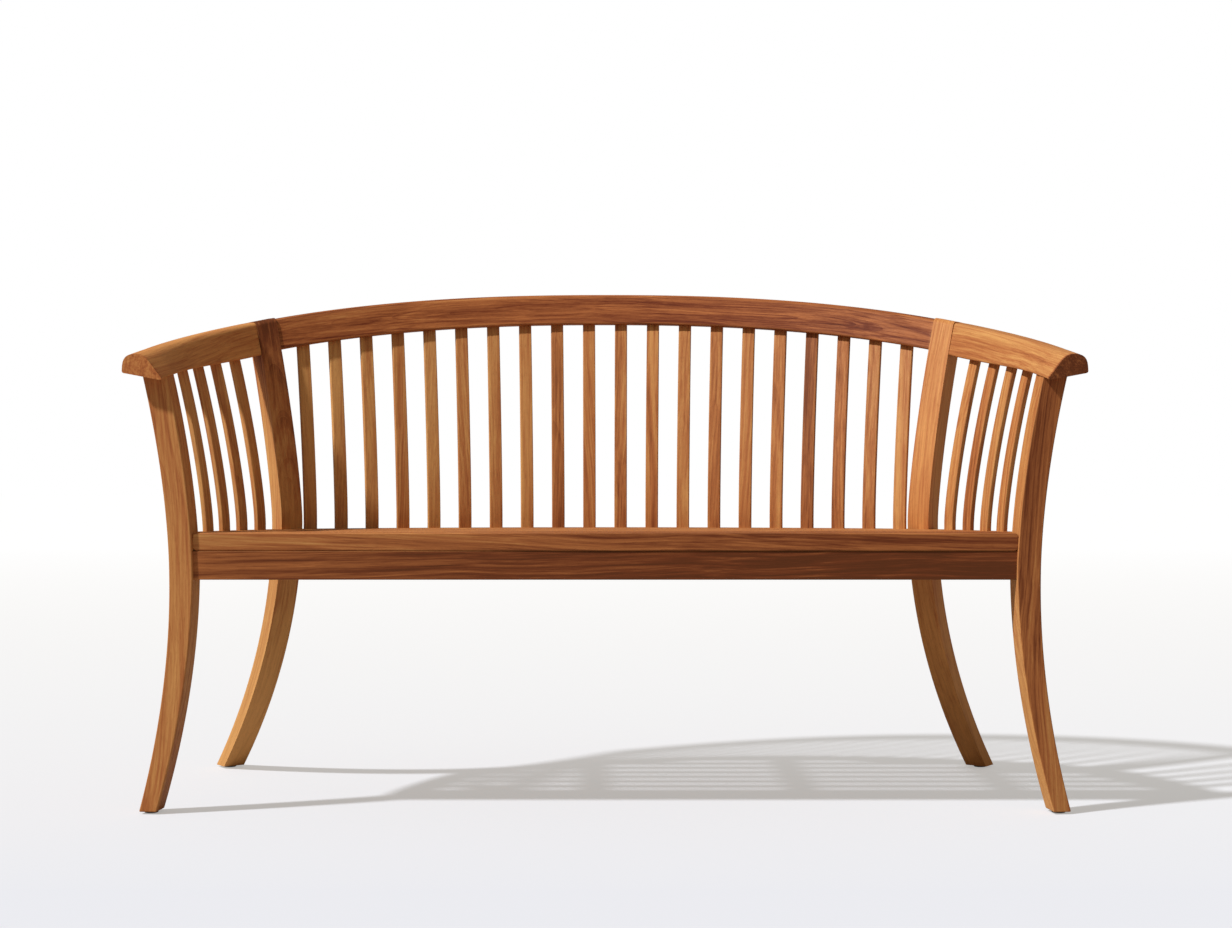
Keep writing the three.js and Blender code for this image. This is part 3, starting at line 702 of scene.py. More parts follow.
def teak():
    """The bench's teak, made once: rings, streaks and pores that follow each piece's own grain."""
    found = bpy.data.materials.get("oiled_teak")
    if found:
        return found
    colours = bpy.context.scene.bench_colours
    material = bpy.data.materials.new("oiled_teak")
    g = empty_graph(material)
    grain = g.node("ShaderNodeAttribute", {"attribute_name": "grain"}, output=1)
    light, red, _ = g.parts(g.node("ShaderNodeAttribute", {"attribute_name": "tone"}, output=1))
    wear = g.node("ShaderNodeAttribute", {"attribute_name": "wear"}, output=2)
    across, depth, along = g.parts(grain)

    def drawn_out(side, through, often, detail, roughness=0.55):
        place = g.vector(side * often[0], through * often[0], along * often[1])
        return g.noise(place, 1.0, detail, roughness) - 0.5

    # The heart of the tree wavers along the piece
    bent_across = across + drawn_out(across, depth, SWAY, 2.0) * SWAY_REACH
    bent_depth = depth + drawn_out(depth + 7.0 / SWING[0], across, SWING, 2.0) * SWING_REACH
    distance = (bent_across * bent_across + bent_depth * bent_depth).math("SQRT")

    # Rings round the heart, each with a dark late line, and what runs along the grain
    rings = g.noise(g.vector(distance * 190.0, along * RINGS[1], 0.5), 1.0, 3.0, 0.6) - 0.5
    late = (distance * RINGS[0] + rings * 1.6).math("FRACT") ** 5.0
    broad = drawn_out(bent_across, bent_depth, BROAD_BANDS, 2.0)
    streaks = drawn_out(bent_across, bent_depth, STREAKS, 3.0, 0.6)
    fibres = drawn_out(across, depth, FIBRES, 2.0, 0.6)
    pits = ((drawn_out(across, depth, PORES, 1.0, 0.5) - 0.12) * 9.0).clamped()

    # From pale wood to deep, redder or not, with dark pores and paler edges, partly worn and partly a
    # painted highlight
    darkness = (rings * RINGS_DEPTH + broad * BROAD_DEPTH + streaks * STREAKS_DEPTH
                + fibres * FIBRES_DEPTH + late * LATE_DEPTH + MEAN_DEPTH - light)
    pale = [value * 1.12 for value in colours.teak_light]
    deep = [value * 0.6 for value in colours.teak_dark]
    body = g.node("ShaderNodeValToRGB", {"stops": [
        (0.0, pale), (0.17, colours.teak_light), (0.5, colours.teak_middle), (0.83, colours.teak_dark),
        (1.0, deep)]}, {0: (darkness + 0.25) / 1.5})
    ruddy = g.mix(1.0, body, (1.0, 0.8, 0.7), "MULTIPLY")
    body = g.mix(red.clamped(), body, ruddy)
    body = g.mix(pits * 0.4, body, colours.teak_dark)
    # Sharp edges are painted paler: partly wear, partly a painted highlight where the rounded arris catches
    # the light
    worn_and_lit = wear * wear * 0.22
    body = g.mix(worn_and_lit, body, colours.teak_light)

    roughness = 0.58 + streaks * 0.25 + pits * 0.15 - wear * 0.08
    height = streaks * 0.5 + fibres * 0.4 - pits * 0.9
    normal = g.node("ShaderNodeBump", None, {"Strength": 0.18, "Distance": 0.0006, "Height": height})
    surface = g.node("ShaderNodeBsdfPrincipled", None, {
        "Base Color": body, "Roughness": roughness, "Normal": normal,
        "Specular IOR Level": 0.12})
    g.node("ShaderNodeOutputMaterial", None, {"Surface": surface})
    return material


def dark_pad():
    """The moulded pads' material, with a faint mottle and scuffs."""
    found = bpy.data.materials.get("dark_pad")
    if found:
        return found
    colours = bpy.context.scene.bench_colours
    material = bpy.data.materials.new("dark_pad")
    g = empty_graph(material)
    place = g.node("ShaderNodeTexCoord", output=3)
    mottle = g.noise(place, 900.0, 4.0)
    scuffs = g.noise(place, 160.0, 3.0)
    base = g.mix(((mottle - 0.35) * 1.6).clamped(), colours.pad, [value * 2.2 for value in colours.pad])
    roughness = 0.62 + scuffs * 0.25
    normal = g.node("ShaderNodeBump", None, {"Strength": 0.2, "Distance": 0.0002, "Height": mottle})
    surface = g.node("ShaderNodeBsdfPrincipled", None, {
        "Base Color": base, "Roughness": roughness, "Normal": normal, "Specular IOR Level": 0.35})
    g.node("ShaderNodeOutputMaterial", None, {"Surface": surface})
    return material


def rail_corners(bench, arm_share):
    """The top rail's section, as it turns from a rail into the flat end of an arm."""
    half = bench.sizes.rail_thickness / 2
    low = -bench.sizes.rail_height
    corners = [
        (-half, -ARM_INSIDE, low, -ARM_HEIGHT, INNER_LOW_ROUND),
        (half, ARM_OUTSIDE, low, -ARM_TIP_HEIGHT, OUTER_LOW_ROUND),
        (half, ARM_TOP_OUTSIDE, 0.0, 0.0, OUTER_TOP_ROUND),
        (-half, -ARM_TOP_INSIDE, 0.0, 0.0, INNER_TOP_ROUND),
    ]
    return [(blend(out, arm_out, arm_share), blend(up, arm_up, arm_share), blend(*rounds, arm_share))
            for out, arm_out, up, arm_up, rounds in corners]


def lean_section(bench, points, top, front_share, arm_share):
    """Sets a section at the rail's top line, its faces leaning with the uprights under it."""
    slope = slope_of(lambda z: bench.lean_at(z, front_share), top - bench.sizes.rail_height / 2)
    lean = bench.lean_at(top, front_share)
    return [(lean + p[0] + p[1] * slope * (1 - arm_share), top + p[1]) for p in points]


def sweep(curve, start, end, steps, section_at):
    """Sweeps a section along a curve of the plan."""
    return loft([[curve(t).point(*p) for p in section_at(t)] for t in spread(steps + 1, start, end)])


def curve_grain(middle, radius, line_at):
    """Grain that follows a rail round its centre, as (across, through, along).

    The line gives how far out and how high the rail runs at each place along it.
    """
    def grain_at(point):
        offset = Vector((point.x - middle[0], point.y - middle[1]))
        along = math.atan2(offset.x, offset.y) * radius
        out, level = line_at(along)
        return Vector((point.z - level, offset.length - radius - out, along))
    return grain_at


def level_line(t):
    """The line of a rail that keeps its height and its distance from the centre."""
    return 0.0, 0.0


def back_grain(bench, line_at=level_line):
    middle = (0.0, bench.back_curve(0.0).y - bench.sizes.back_radius)
    return curve_grain(middle, bench.sizes.back_radius, line_at)


def side_grain(bench, line_at=level_line):
    start = bench.side_curve(0.0)
    radius = bench.sizes.side_radius
    middle = (start.x - radius * start.sine, start.y - radius * start.cosine)
    first = bench.side_start * radius
    return curve_grain(middle, radius, lambda along: line_at(along - first))


def trim_at_leg(bm, bench, place, side, both=False):
    """Trims a rail where it butts against a leg: on one side of the leg, or on the mirrored leg too."""
    face = bench.sizes.leg_width / 2 + FIT
    point = place.point(0.0, 0.0, side * face)
    normal = place.forward() * -side
    cut_away(bm, point, normal)
    if both:
        cut_away(bm, Vector((-point.x, point.y, 0.0)), Vector((-normal.x, normal.y, 0.0)))


class BENCH_OT_top_rail(bpy.types.Operator):
    """Make the top rail over the back and the two arms"""

    bl_idname = "bench.top_rail"
    bl_label = "Top rail"

    def execute(self, context):
        bench = Bench(context.scene.bench_sizes)

        def crest_section(t):
            return lean_section(bench, rounded(rail_corners(bench, 0.0)), bench.crest_top(t), 0.0, 0.0)

        def arm_section(t):
            share = bench.arm_share(t)
            points = rounded(rail_corners(bench, share))
            return lean_section(bench, points, bench.arm_top(t), bench.side_share(t), share)

        def crest_line(t):
            return bench.lean_at(bench.crest_top(t), 0.0), bench.crest_top(t)

        def arm_line(t):
            return bench.lean_at(bench.arm_top(t), bench.side_share(t)), bench.arm_top(t)

        half = bench.back_half_arc
        crest = sweep(bench.back_curve, -half, half, CREST_STEPS, crest_section)
        trim_at_leg(crest, bench, bench.rear_leg, -1, both=True)
        ease(crest, CREST_EDGE)
        teak_piece("crest_rail", crest, back_grain(bench, crest_line), CREST_TONE)
        for side in (RIGHT, LEFT):
            arm = sweep(bench.side_curve, 2 * bench.arm_start, bench.side_reach, ARM_STEPS, arm_section)
            trim_at_leg(arm, bench, bench.rear_leg, 1)
            ease(arm, ARM_EDGE, steps=3)
            teak_piece(f"arm_rail_{side_name(side)}", arm, side_grain(bench, arm_line), ARM_TONES_WITH_PAINTED_LIGHT[side],
                       side, end_grain_and_shade=ARM_END_GRAIN_AND_PAINTED_SHADE[side])
        return {"FINISHED"}


def leg_ring(bench, place, middle_at, depth_at, z_at, inset=0.0):
    """Four corners of a leg at a height that may slope across it."""
    half_width = bench.sizes.leg_width / 2
    ring = []
    for across, along in ((-1, -1), (1, -1), (1, 1), (-1, 1)):
        z = z_at(0.0, along * half_width)
        # Each round brings the corner nearer to where the slope and the bow of the leg meet
        for _ in range(3):
            half_depth = depth_at(z) / 2 * math.hypot(1, slope_of(middle_at, z)) - inset
            outward = middle_at(z) + across * half_depth
            z = z_at(outward, along * half_width)
        ring.append(place.point(outward, z, along * half_width))
    return ring


def leg_grain(place, middle_at, follow):
    """Grain that follows a share of a leg's bow, so that it runs out at the curved faces."""
    def grain_at(point):
        local = place.local(point)
        return Vector((local.x, local.y - follow * middle_at(local.z), local.z))
    return grain_at


def painted_light_inside(bench, place, middle_at, foot_depth, waist):
    """Painted light: paler wood on the face of a leg that looks in over the seat, as if lit."""
    def tone_at(point):
        local = place.local(point)
        half = blend(foot_depth, bench.sizes.leg_depth, clamp(local.z / waist)) / 2
        return INNER_FACE_PAINTED_LIGHT * (local.y - middle_at(local.z) < -ON_INNER_FACE * half)
    return tone_at


def painted_light_front(bench, place):
    """Painted light: paler wood on the front face of a leg, as if lit, fading out over the seat and under
    the arm.
    """
    face = ON_FRONT_FACE * bench.sizes.leg_width / 2
    low_fade, high_end, high_fade = 100 * MM, 340 * MM, 80 * MM

    def tone_at(point):
        rise = point.z - bench.sizes.seat_height
        share = clamp(rise / low_fade) * clamp((high_end - rise) / high_fade)
        return FRONT_FACE_PAINTED_LIGHT * share * (place.local(point).x > face)
    return tone_at


class BENCH_OT_legs(bpy.types.Operator):
    """Make the four sabre legs"""

    bl_idname = "bench.legs"
    bl_label = "Legs"

    def leg(self, bench, place, middle_at, foot_depth, waist, top_at, top, top_round=0.0):
        low = bench.glide_thickness + FIT
        heights = spread(LEG_STEPS, low, top)

        def depth_at(z):
            return blend(foot_depth, bench.sizes.leg_depth, clamp(z / waist))

        rings = [leg_ring(bench, place, middle_at, depth_at, lambda u, w, z=z: z) for z in heights[:-1]]
        for angle in spread(TOP_STEPS, 0.0, math.pi / 2) if top_round else [math.pi / 2]:
            inset = top_round * (1 - math.cos(angle))
            drop = top_round * (1 - math.sin(angle))
            rings.append(leg_ring(bench, place, middle_at, depth_at,
                                  lambda u, w, drop=drop: top_at(u, w) - drop, inset))
        leg = loft(rings)
        ease(leg, LEG_EDGE, steps=3)
        return leg

    def execute(self, context):
        bench = Bench(context.scene.bench_sizes)
        s = bench.sizes

        def rear_top(outward, along):
            return bench.shoulder - bench.shoulder_slope * along

        def front_top(outward, along):
            t = bench.side_arc + along
            (inner, inner_low, _), (outer, outer_low, _) = rail_corners(bench, bench.arm_share(t))[:2]
            share = (outward - bench.lean_at(bench.arm_top(t), 1.0) - inner) / (outer - inner)
            return bench.arm_top(t) + blend(inner_low, outer_low, share) + FRONT_TOP_INTO_ARM

        for side in (RIGHT, LEFT):
            rear = self.leg(bench, bench.rear_leg, bench.rear_bow, s.rear_foot_depth, bench.rear_waist,
                            rear_top, bench.shoulder - REAR_TOP_BELOW, REAR_TOP_ROUND)
            # The left rear leg's front face gets painted light, as if lit
            teak_piece(f"rear_leg_{side_name(side)}", rear,
                       leg_grain(bench.rear_leg, bench.rear_bow, REAR_GRAIN_BEND),
                       REAR_LEG_TONES_WITH_PAINTED_LIGHT[side], side,
                       painted_face_light=painted_light_front(bench, bench.rear_leg) if side == LEFT else None)
            under = front_top(bench.front_bow(bench.arm_top(bench.side_arc)), 0.0)
            front = self.leg(bench, bench.front_leg, bench.front_bow, s.front_foot_depth, bench.front_waist,
                             front_top, under - FRONT_TOP_BELOW)
            # The right front leg's inner face gets painted light, as if lit
            inside = painted_light_inside(bench, bench.front_leg, bench.front_bow, s.front_foot_depth,
                                  bench.front_waist)
            teak_piece(f"front_leg_{side_name(side)}", front,
                       leg_grain(bench.front_leg, bench.front_bow, FRONT_GRAIN_BEND),
                       FRONT_LEG_TONES_WITH_PAINTED_LIGHT[side], side, painted_face_light=inside if side == RIGHT else None)
        return {"FINISHED"}


SLAT_LENGTHS = ("Width", "Thickness", "Edge round", "Rear waist", "Front waist", "Rear lean", "Front lean",
                "Lean rise")


def slat_tree():
    """Geometry nodes that bend a bar into an upright slat at every given point."""
    tree = bpy.data.node_groups.new("bent_slats", "GeometryNodeTree")
    tree.interface.new_socket(name="Geometry", in_out="INPUT", socket_type="NodeSocketGeometry")
    tree.interface.new_socket(name="Geometry", in_out="OUTPUT", socket_type="NodeSocketGeometry")
    for name in SLAT_LENGTHS:
        tree.interface.new_socket(name=name, in_out="INPUT", socket_type="NodeSocketFloat")
    tree.interface.new_socket(name="Steps", in_out="INPUT", socket_type="NodeSocketInt")
    tree.interface.new_socket(name="Wood", in_out="INPUT", socket_type="NodeSocketMaterial")
    g = Graph(tree)
    given = {socket.name: Term(g, socket) for socket in tree.nodes.new("NodeGroupInput").outputs}

    def named(name, kind="FLOAT"):
        return g.node("GeometryNodeInputNamedAttribute", {"data_type": kind}, {"Name": name})

    profile = g.node("GeometryNodeCurvePrimitiveQuadrilateral", None, {
        "Width": given["Width"], "Height": given["Thickness"]})
    profile = g.node("GeometryNodeFilletCurve", {"mode": "POLY"}, {
        "Curve": profile, "Count": 3, "Radius": given["Edge round"]})
    line = g.node("GeometryNodeCurvePrimitiveLine", None, {"Start": (0, 0, 0), "End": (0, 0, 1)})
    line = g.node("GeometryNodeResampleCurve", None, {"Curve": line, "Count": given["Steps"]})
    bar = g.node("GeometryNodeCurveToMesh", None, {
        "Curve": line, "Profile Curve": profile, "Fill Caps": True})
    at = g.node("GeometryNodeInputPosition")
    bar = g.node("GeometryNodeStoreNamedAttribute", {"data_type": "FLOAT_VECTOR"}, {
        "Geometry": bar, "Name": "bar", "Value": at})
    slats = g.node("GeometryNodeInstanceOnPoints", None, {"Points": given["Geometry"], "Instance": bar})
    slats = g.node("GeometryNodeRealizeInstances", None, {"Geometry": slats})

    across, through, share = g.parts(named("bar", "FLOAT_VECTOR"))
    low, high = named("low"), named("high")
    z = low + (high - low) * share

    def middle(height):
        def lean(name, power):
            rise = (height - given[f"{name} waist"]).math("MAXIMUM", 0.0) / given["Lean rise"]
            return given[f"{name} lean"] * rise ** power
        rear = lean("Rear", REAR_LEAN_POWER)
        return rear + (lean("Front", FRONT_LEAN_POWER) - rear) * named("front_share")

    lean = middle(z)
    slope = (middle(z + SLOPE_STEP) - middle(z - SLOPE_STEP)) / (2 * SLOPE_STEP)
    outward = lean + through * (slope * slope + 1.0).math("SQRT")
    along = across - named("gather") * lean
    turn = named("turn")
    sine, cosine = turn.math("SINE"), turn.math("COSINE")
    place_x, place_y, _ = g.parts(named("place", "FLOAT_VECTOR"))
    x = place_x + outward * sine + along * cosine
    y = place_y + outward * cosine - along * sine
    offset_x, offset_y, offset_z = g.parts(named("offset", "FLOAT_VECTOR"))
    tilt_x, tilt_y, _ = g.parts(named("tilt", "FLOAT_VECTOR"))
    slats = g.node("GeometryNodeStoreNamedAttribute", {"data_type": "FLOAT_VECTOR"}, {
        "Geometry": slats, "Name": "grain",
        "Value": g.vector(across + offset_x + tilt_x * z, through + offset_y + tilt_y * z, z + offset_z)})
    slats = g.node("GeometryNodeSetPosition", None, {"Geometry": slats, "Position": g.vector(x, y, z)})
    slats = g.node("GeometryNodeSetMaterial", None, {"Geometry": slats, "Material": given["Wood"]})
    ending = tree.nodes.new("NodeGroupOutput")
    tree.links.new(slats.socket, ending.inputs["Geometry"])
    return tree


def slat_points(name, rows):
    """One point for each slat, with what sets it apart from the others."""
    mesh = bpy.data.meshes.new(name)
    mesh.from_pydata([row["place"] for row in rows], [], [])
    for key in ("turn", "low", "high", "front_share", "gather"):
        write_attribute(mesh, key, "FLOAT", [row[key] for row in rows])
    for key in ("place", "offset", "tilt", "tone"):
        write_attribute(mesh, key, "FLOAT_VECTOR", [value for row in rows for value in row[key]])
    return mesh


def slat_row(bench, curve, t, top_at, height_at, front_share_at, gather_at, lightness, chance):
    """The numbers that shape and tint one slat, t along its curve."""
    s = bench.sizes
    place = curve(t)
    pith = Pith(chance)
    gather = math.tan(gather_at(t))
    top_place = t - gather * bench.lean_at(top_at(t) - s.rail_height, front_share_at(t))
    return {
        "place": (place.x, place.y, 0.0),
        "turn": place.angle,
        "low": bench.seat_top(place.y) - bench.slat_housing,
        "high": top_at(top_place) - height_at(top_place) + bench.slat_housing,
        "front_share": front_share_at(top_place),
        "gather": gather,
        "offset": (pith.across, pith.through, pith.along),
        "tilt": (*pith.tilt, 0.0),
        "tone": (lightness + chance.uniform(-SLAT_STRAY, SLAT_STRAY), chance.uniform(0.0, SLAT_REDNESS),
                 0.0),
    }


def build_slats(name, rows, tree, bench, nodes, side=RIGHT):
    """Runs the slat nodes on the points and keeps the result as a plain mesh."""
    s = bench.sizes
    values = {
        "Width": s.slat_width, "Thickness": s.slat_thickness, "Edge round": SLAT_EDGE,
        "Rear waist": bench.rear_waist, "Front waist": bench.front_waist,
        "Rear lean": s.rear_lean, "Front lean": s.front_lean, "Lean rise": s.lean_rise,
        "Steps": SLAT_STEPS, "Wood": teak(),
    }
    carrier = bpy.data.objects.new(name, slat_points(name, rows))
    bpy.context.scene.collection.objects.link(carrier)
    modifier = carrier.modifiers.new("slats", "NODES")
    modifier.node_group = tree
    for socket in tree.interface.items_tree:
        if socket.item_type == "SOCKET" and socket.in_out == "INPUT" and socket.name in values:
            modifier[socket.identifier] = values[socket.name]
    graph = bpy.context.evaluated_depsgraph_get()
    mesh = bpy.data.meshes.new_from_object(carrier.evaluated_get(graph), depsgraph=graph)
    bpy.data.objects.remove(carrier)
    for key in ("bar", "turn", "low", "high", "front_share", "gather", "place", "offset", "tilt"):
        layer = mesh.attributes.get(key)
        if layer:
            mesh.attributes.remove(layer)
    if side == LEFT:
        bm = bmesh.new()
        bm.from_mesh(mesh)
        mirror(bm)
        bm.to_mesh(mesh)
        bm.free()
    if len(mesh.polygons) < len(rows) * SLAT_STEPS:
        raise RuntimeError(f"{name} came out of its nodes with {len(mesh.polygons)} faces")
    finish_piece(name, mesh, nodes, teak())


class BENCH_OT_slats(bpy.types.Operator):
    """Make the upright slats of the back and sides"""

    bl_idname = "bench.slats"
    bl_label = "Upright slats"

    def execute(self, context):
        bench = Bench(context.scene.bench_sizes)
        s = bench.sizes
        tree = slat_tree()
        chance = random.Random(SLAT_SEED)
        end = bench.back_half_arc - s.back_slat_end

        def gather_at_back(t):
            return GATHER_SHARE * t / s.back_radius

        # The back's slats get painted light: lighter at its left end, darker at its right
        rows = [
            slat_row(bench, bench.back_curve, t, bench.crest_top, lambda t: s.rail_height,
                     lambda t: 0.0, gather_at_back, BACK_SLAT_LIGHTNESS - BACK_SLAT_PAINTED_LIGHT_FALL * t / end, chance)
            for t in spread(s.back_slat_count, -end, end)
        ]
        rows[-1]["tone"] = LAST_SLAT_TONE
        nodes = [f"back_slat_{count + 1:02d}" for count in range(s.back_slat_count)]
        build_slats("back_slats_wood", rows, tree, bench, nodes)

        def arm_height(t):
            return blend(s.rail_height, ARM_HEIGHT, bench.arm_share(t))

        def gather_at_side(t):
            return bench.side_curve(t).angle - blend(REAR_LEG_TURN, FRONT_LEG_TURN, bench.side_share(t))

        places = spread(s.side_slat_count, s.side_slat_rear, bench.side_arc - s.side_slat_front)
        for side in (RIGHT, LEFT):
            rows = [
                slat_row(bench, bench.side_curve, t, bench.arm_top, arm_height, bench.side_share,
                         gather_at_side, SIDE_SLAT_LIGHTNESS[side], chance)
                for t in places
            ]
            word = side_name(side)
            nodes = [f"side_slat_{word}_{count + 1}" for count in range(s.side_slat_count)]
            build_slats(f"side_slats_{word}_wood", rows, tree, bench, nodes, side)
        return {"FINISHED"}


def seat_outline(bench, reach):
    """The seat's edge in plan, anticlockwise, set in or out from the inside of the rails by a reach."""
    s = bench.sizes

    def inside(place, share):
        point = place.point(bench.lean_at(s.seat_height, share) - s.leg_depth / 2 + reach, 0.0)
        return Vector((point.x, point.y))

    past_front_leg = bench.side_arc + 80 * MM
    right = [inside(bench.side_curve(t), bench.side_share(t))
             for t in spread(SEAT_SIDE_STEPS, past_front_leg, 0.0)]
    half = bench.back_half_arc
    back = [inside(bench.back_curve(t), 0.0) for t in spread(SEAT_BACK_STEPS, half, -half)][1:-1]
    left = [Vector((-p.x, p.y)) for p in reversed(right)]
    return right + back + left


def clipped(outline, bounds):
    """The part of an outline that lies inside a convex boundary given anticlockwise."""
    for first, second in zip(bounds, bounds[1:]):
        edge = second - first
        kept = []
        for before, after in zip([outline[-1], *outline[:-1]], outline):
            inside_before = edge.x * (before.y - first.y) - edge.y * (before.x - first.x)
            inside_after = edge.x * (after.y - first.y) - edge.y * (after.x - first.x)
            if inside_before * inside_after < 0:
                kept.append(before.lerp(after, inside_before / (inside_before - inside_after)))
            if inside_after >= 0:
                kept.append(after)
        outline = kept
    return outline


def tidy_outline(outline, least):
    """Leaves out points that lie closer together than a given distance."""
    return [p for p, before in zip(outline, [outline[-1], *outline[:-1]]) if (p - before).length > least]


def strip(front, back):
    """A strip across the bench and past it in plan, with points in the middle of its long sides."""
    near = [Vector((x, front)) for x in (-STRIP_REACH, 0.0, STRIP_REACH)]
    far = [Vector((x, back)) for x in (STRIP_REACH, 0.0, -STRIP_REACH)]
    return near + far


def across_grain(point):
    """Grain that runs across the bench."""
    return Vector((point.y, point.z, point.x))


def front_leg_planes(bench):
    """The inner faces of the two front legs, as (point, normal) of what to cut away."""
    s = bench.sizes
    point = bench.front_leg.point(bench.front_bow(s.seat_height) - s.leg_depth / 2 - FIT, 0.0)
    normal = Vector((bench.front_leg.sine, bench.front_leg.cosine, 0.0))
    return [(point, normal), (Vector((-point.x, point.y, 0.0)), Vector((-normal.x, normal.y, 0.0)))]


class BENCH_OT_seat(bpy.types.Operator):
    """Make the seat: its board, apron, slats, bearers and rails"""

    bl_idname = "bench.seat"
    bl_label = "Seat"

    def board(self, bench):
        s = bench.sizes
        edge = clipped(strip(bench.board_front, bench.board_back), seat_outline(bench, -FIT))
        outline = tidy_outline(edge, BOARD_POINTS_APART)
        low = s.seat_height - s.board_thickness
        board = slab(outline, lambda p: low, lambda p: s.seat_height)
        for point, normal in front_leg_planes(bench):
            cut_away(board, point, normal)

        def at_end(edge):
            """Whether an edge runs from front to back at an end of the board."""
            near, far = (vert.co for vert in edge.verts)
            return abs((near - far).normalized().y) > 0.9 and abs(near.x) > s.rear_leg_half_spacing

        ends = [edge for edge in board.edges if at_end(edge)]
        bmesh.ops.bevel(board, geom=ends, offset=BOARD_END_EDGE, segments=6, affect="EDGES", profile=0.5)
        ease(board, BOARD_EDGE, steps=4, least_angle=BOARD_EASED_ANGLE)
        in_order(board)
        # The board's tone is painted darker to the right, as the light falls off
        teak_piece("front_seat_board", board, across_grain, BOARD_TONE_WITH_PAINTED_LIGHT)

    def apron(self, bench):
        s = bench.sizes
        outline = strip(bench.apron_front, bench.apron_front + bench.apron_thickness)
        low = bench.apron_top - s.apron_height
        apron = slab(outline, lambda p: low, lambda p: bench.apron_top)
        for point, normal in front_leg_planes(bench):
            cut_away(apron, point, normal)
        ease(apron, APRON_EDGE, steps=3)
        # The apron's tone is painted shade, darker to the right
        teak_piece("front_apron", apron, across_grain, APRON_TONE_WITH_PAINTED_SHADE)

    def slats(self, bench):
        s = bench.sizes
        end = bench.shift + s.legs_apart + bench.back_sagitta - s.leg_depth / 2
        end += bench.rebate - bench.slat_end_gap
        pitch = (end - bench.board_back) / s.seat_slat_count
        bounds = seat_outline(bench, bench.rebate - bench.slat_end_gap)
        chance = random.Random(SEAT_SLAT_SEED)
        for count in range(s.seat_slat_count):
            front = bench.board_back + count * pitch + s.seat_slat_gap
            edge = clipped(strip(front, front + pitch - s.seat_slat_gap), bounds)
            outline = tidy_outline(edge, SEAT_SLAT_POINTS_APART)
            slat = slab(outline, lambda p: bench.seat_top(p.y) - s.seat_slat_thickness,
                        lambda p: bench.seat_top(p.y))
            ease(slat, SEAT_SLAT_EDGE, steps=3)
            first, last = [chance.uniform(-SEAT_SLAT_STRAY, SEAT_SLAT_STRAY) for _ in range(2)]
            tone = (first, (first + last) / 2, last, chance.uniform(0.0, SEAT_SLAT_REDNESS))
            teak_piece(f"seat_slat_{count + 1}", slat, across_grain, tone)

    def bearers(self, bench):
        s = bench.sizes
        width, height, pitch, housing = 24 * MM, 30 * MM, 358 * MM, 8 * MM
        for name, x in (("left", -pitch), ("centre", 0.0), ("right", pitch)):
            back = bench.back_curve(s.back_radius * math.asin(x / s.back_radius)).y
            rear = back - s.leg_depth / 2 + housing
            front = bench.apron_front + bench.apron_thickness - housing
            step = bench.board_back + FIT

            def floor(y):
                return bench.seat_top(y) - s.seat_slat_thickness - FIT

            side = [
                (front, bench.apron_top - height), (rear, bench.apron_top - height),
                (rear, floor(rear) - housing), (rear - 2 * housing, floor(rear) - housing),
                (rear - 2 * housing, floor(rear)), (step, floor(step)),
                (step, bench.apron_top), (front, bench.apron_top),
            ]
            bearer = loft([[Vector((x + edge, y, z)) for y, z in side] for edge in (-width / 2, width / 2)])
            ease(bearer, BEARER_EDGE)
            teak_piece(f"seat_bearer_{name}", bearer, lambda p: Vector((p.x, p.z, p.y)), BEARER_TONE)

    def rails(self, bench):
        s = bench.sizes

        def section(curve, share_at, t):
            top = bench.seat_top(curve(t).y)
            middle = bench.lean_at(s.seat_height, share_at(t))
            inner = middle - s.leg_depth / 2
            outer = middle + bench.seat_rail_outside
            floor = top - s.seat_slat_thickness - FIT
            return [
                (inner, top - s.seat_rail_height), (outer, top - s.seat_rail_height), (outer, top),
                (inner + bench.rebate, top), (inner + bench.rebate, floor), (inner, floor),
            ]

        half = bench.back_half_arc
        rear = sweep(bench.back_curve, -half, half, CREST_STEPS,
                     lambda t: section(bench.back_curve, lambda t: 0.0, t))
        trim_at_leg(rear, bench, bench.rear_leg, -1, both=True)
        ease(rear, SEAT_RAIL_EDGE)
        teak_piece("rear_seat_rail", rear, back_grain(bench), REAR_RAIL_TONE)
        for side in (RIGHT, LEFT):
            rail = sweep(bench.side_curve, 0.0, bench.side_arc, SIDE_RAIL_STEPS,
                         lambda t: section(bench.side_curve, bench.side_share, t))
            trim_at_leg(rail, bench, bench.rear_leg, 1)
            trim_at_leg(rail, bench, bench.front_leg, -1)
            ease(rail, SEAT_RAIL_EDGE)
            teak_piece(f"side_seat_rail_{side_name(side)}", rail, side_grain(bench), SIDE_RAIL_TONES[side],
                       side)

    def execute(self, context):
        bench = Bench(context.scene.bench_sizes)
        self.board(bench)
        self.apron(bench)
        self.slats(bench)
        self.bearers(bench)
        self.rails(bench)
        return {"FINISHED"}


def turned(profile, place_point):
    """A round piece turned from a half outline of (radius, height), each point placed by a function."""
    bm = bmesh.new()
    rings = []
    for radius, height in profile:
        if radius == 0.0:
            rings.append([bm.verts.new(place_point(0.0, 0.0, height))])
            continue
        angles = [2 * math.pi * side / TURNED_SIDES for side in range(TURNED_SIDES)]
        rings.append([bm.verts.new(place_point(radius * math.cos(a), radius * math.sin(a), height))
                      for a in angles])
    for low, high in zip(rings, rings[1:]):
        for side in range(TURNED_SIDES):
            following = (side + 1) % TURNED_SIDES
            corners = [low[side % len(low)], low[following % len(low)],
                       high[following % len(high)], high[side % len(high)]]
            bm.faces.new(list(dict.fromkeys(corners)))
    bmesh.ops.recalc_face_normals(bm, faces=bm.faces)
    return bm


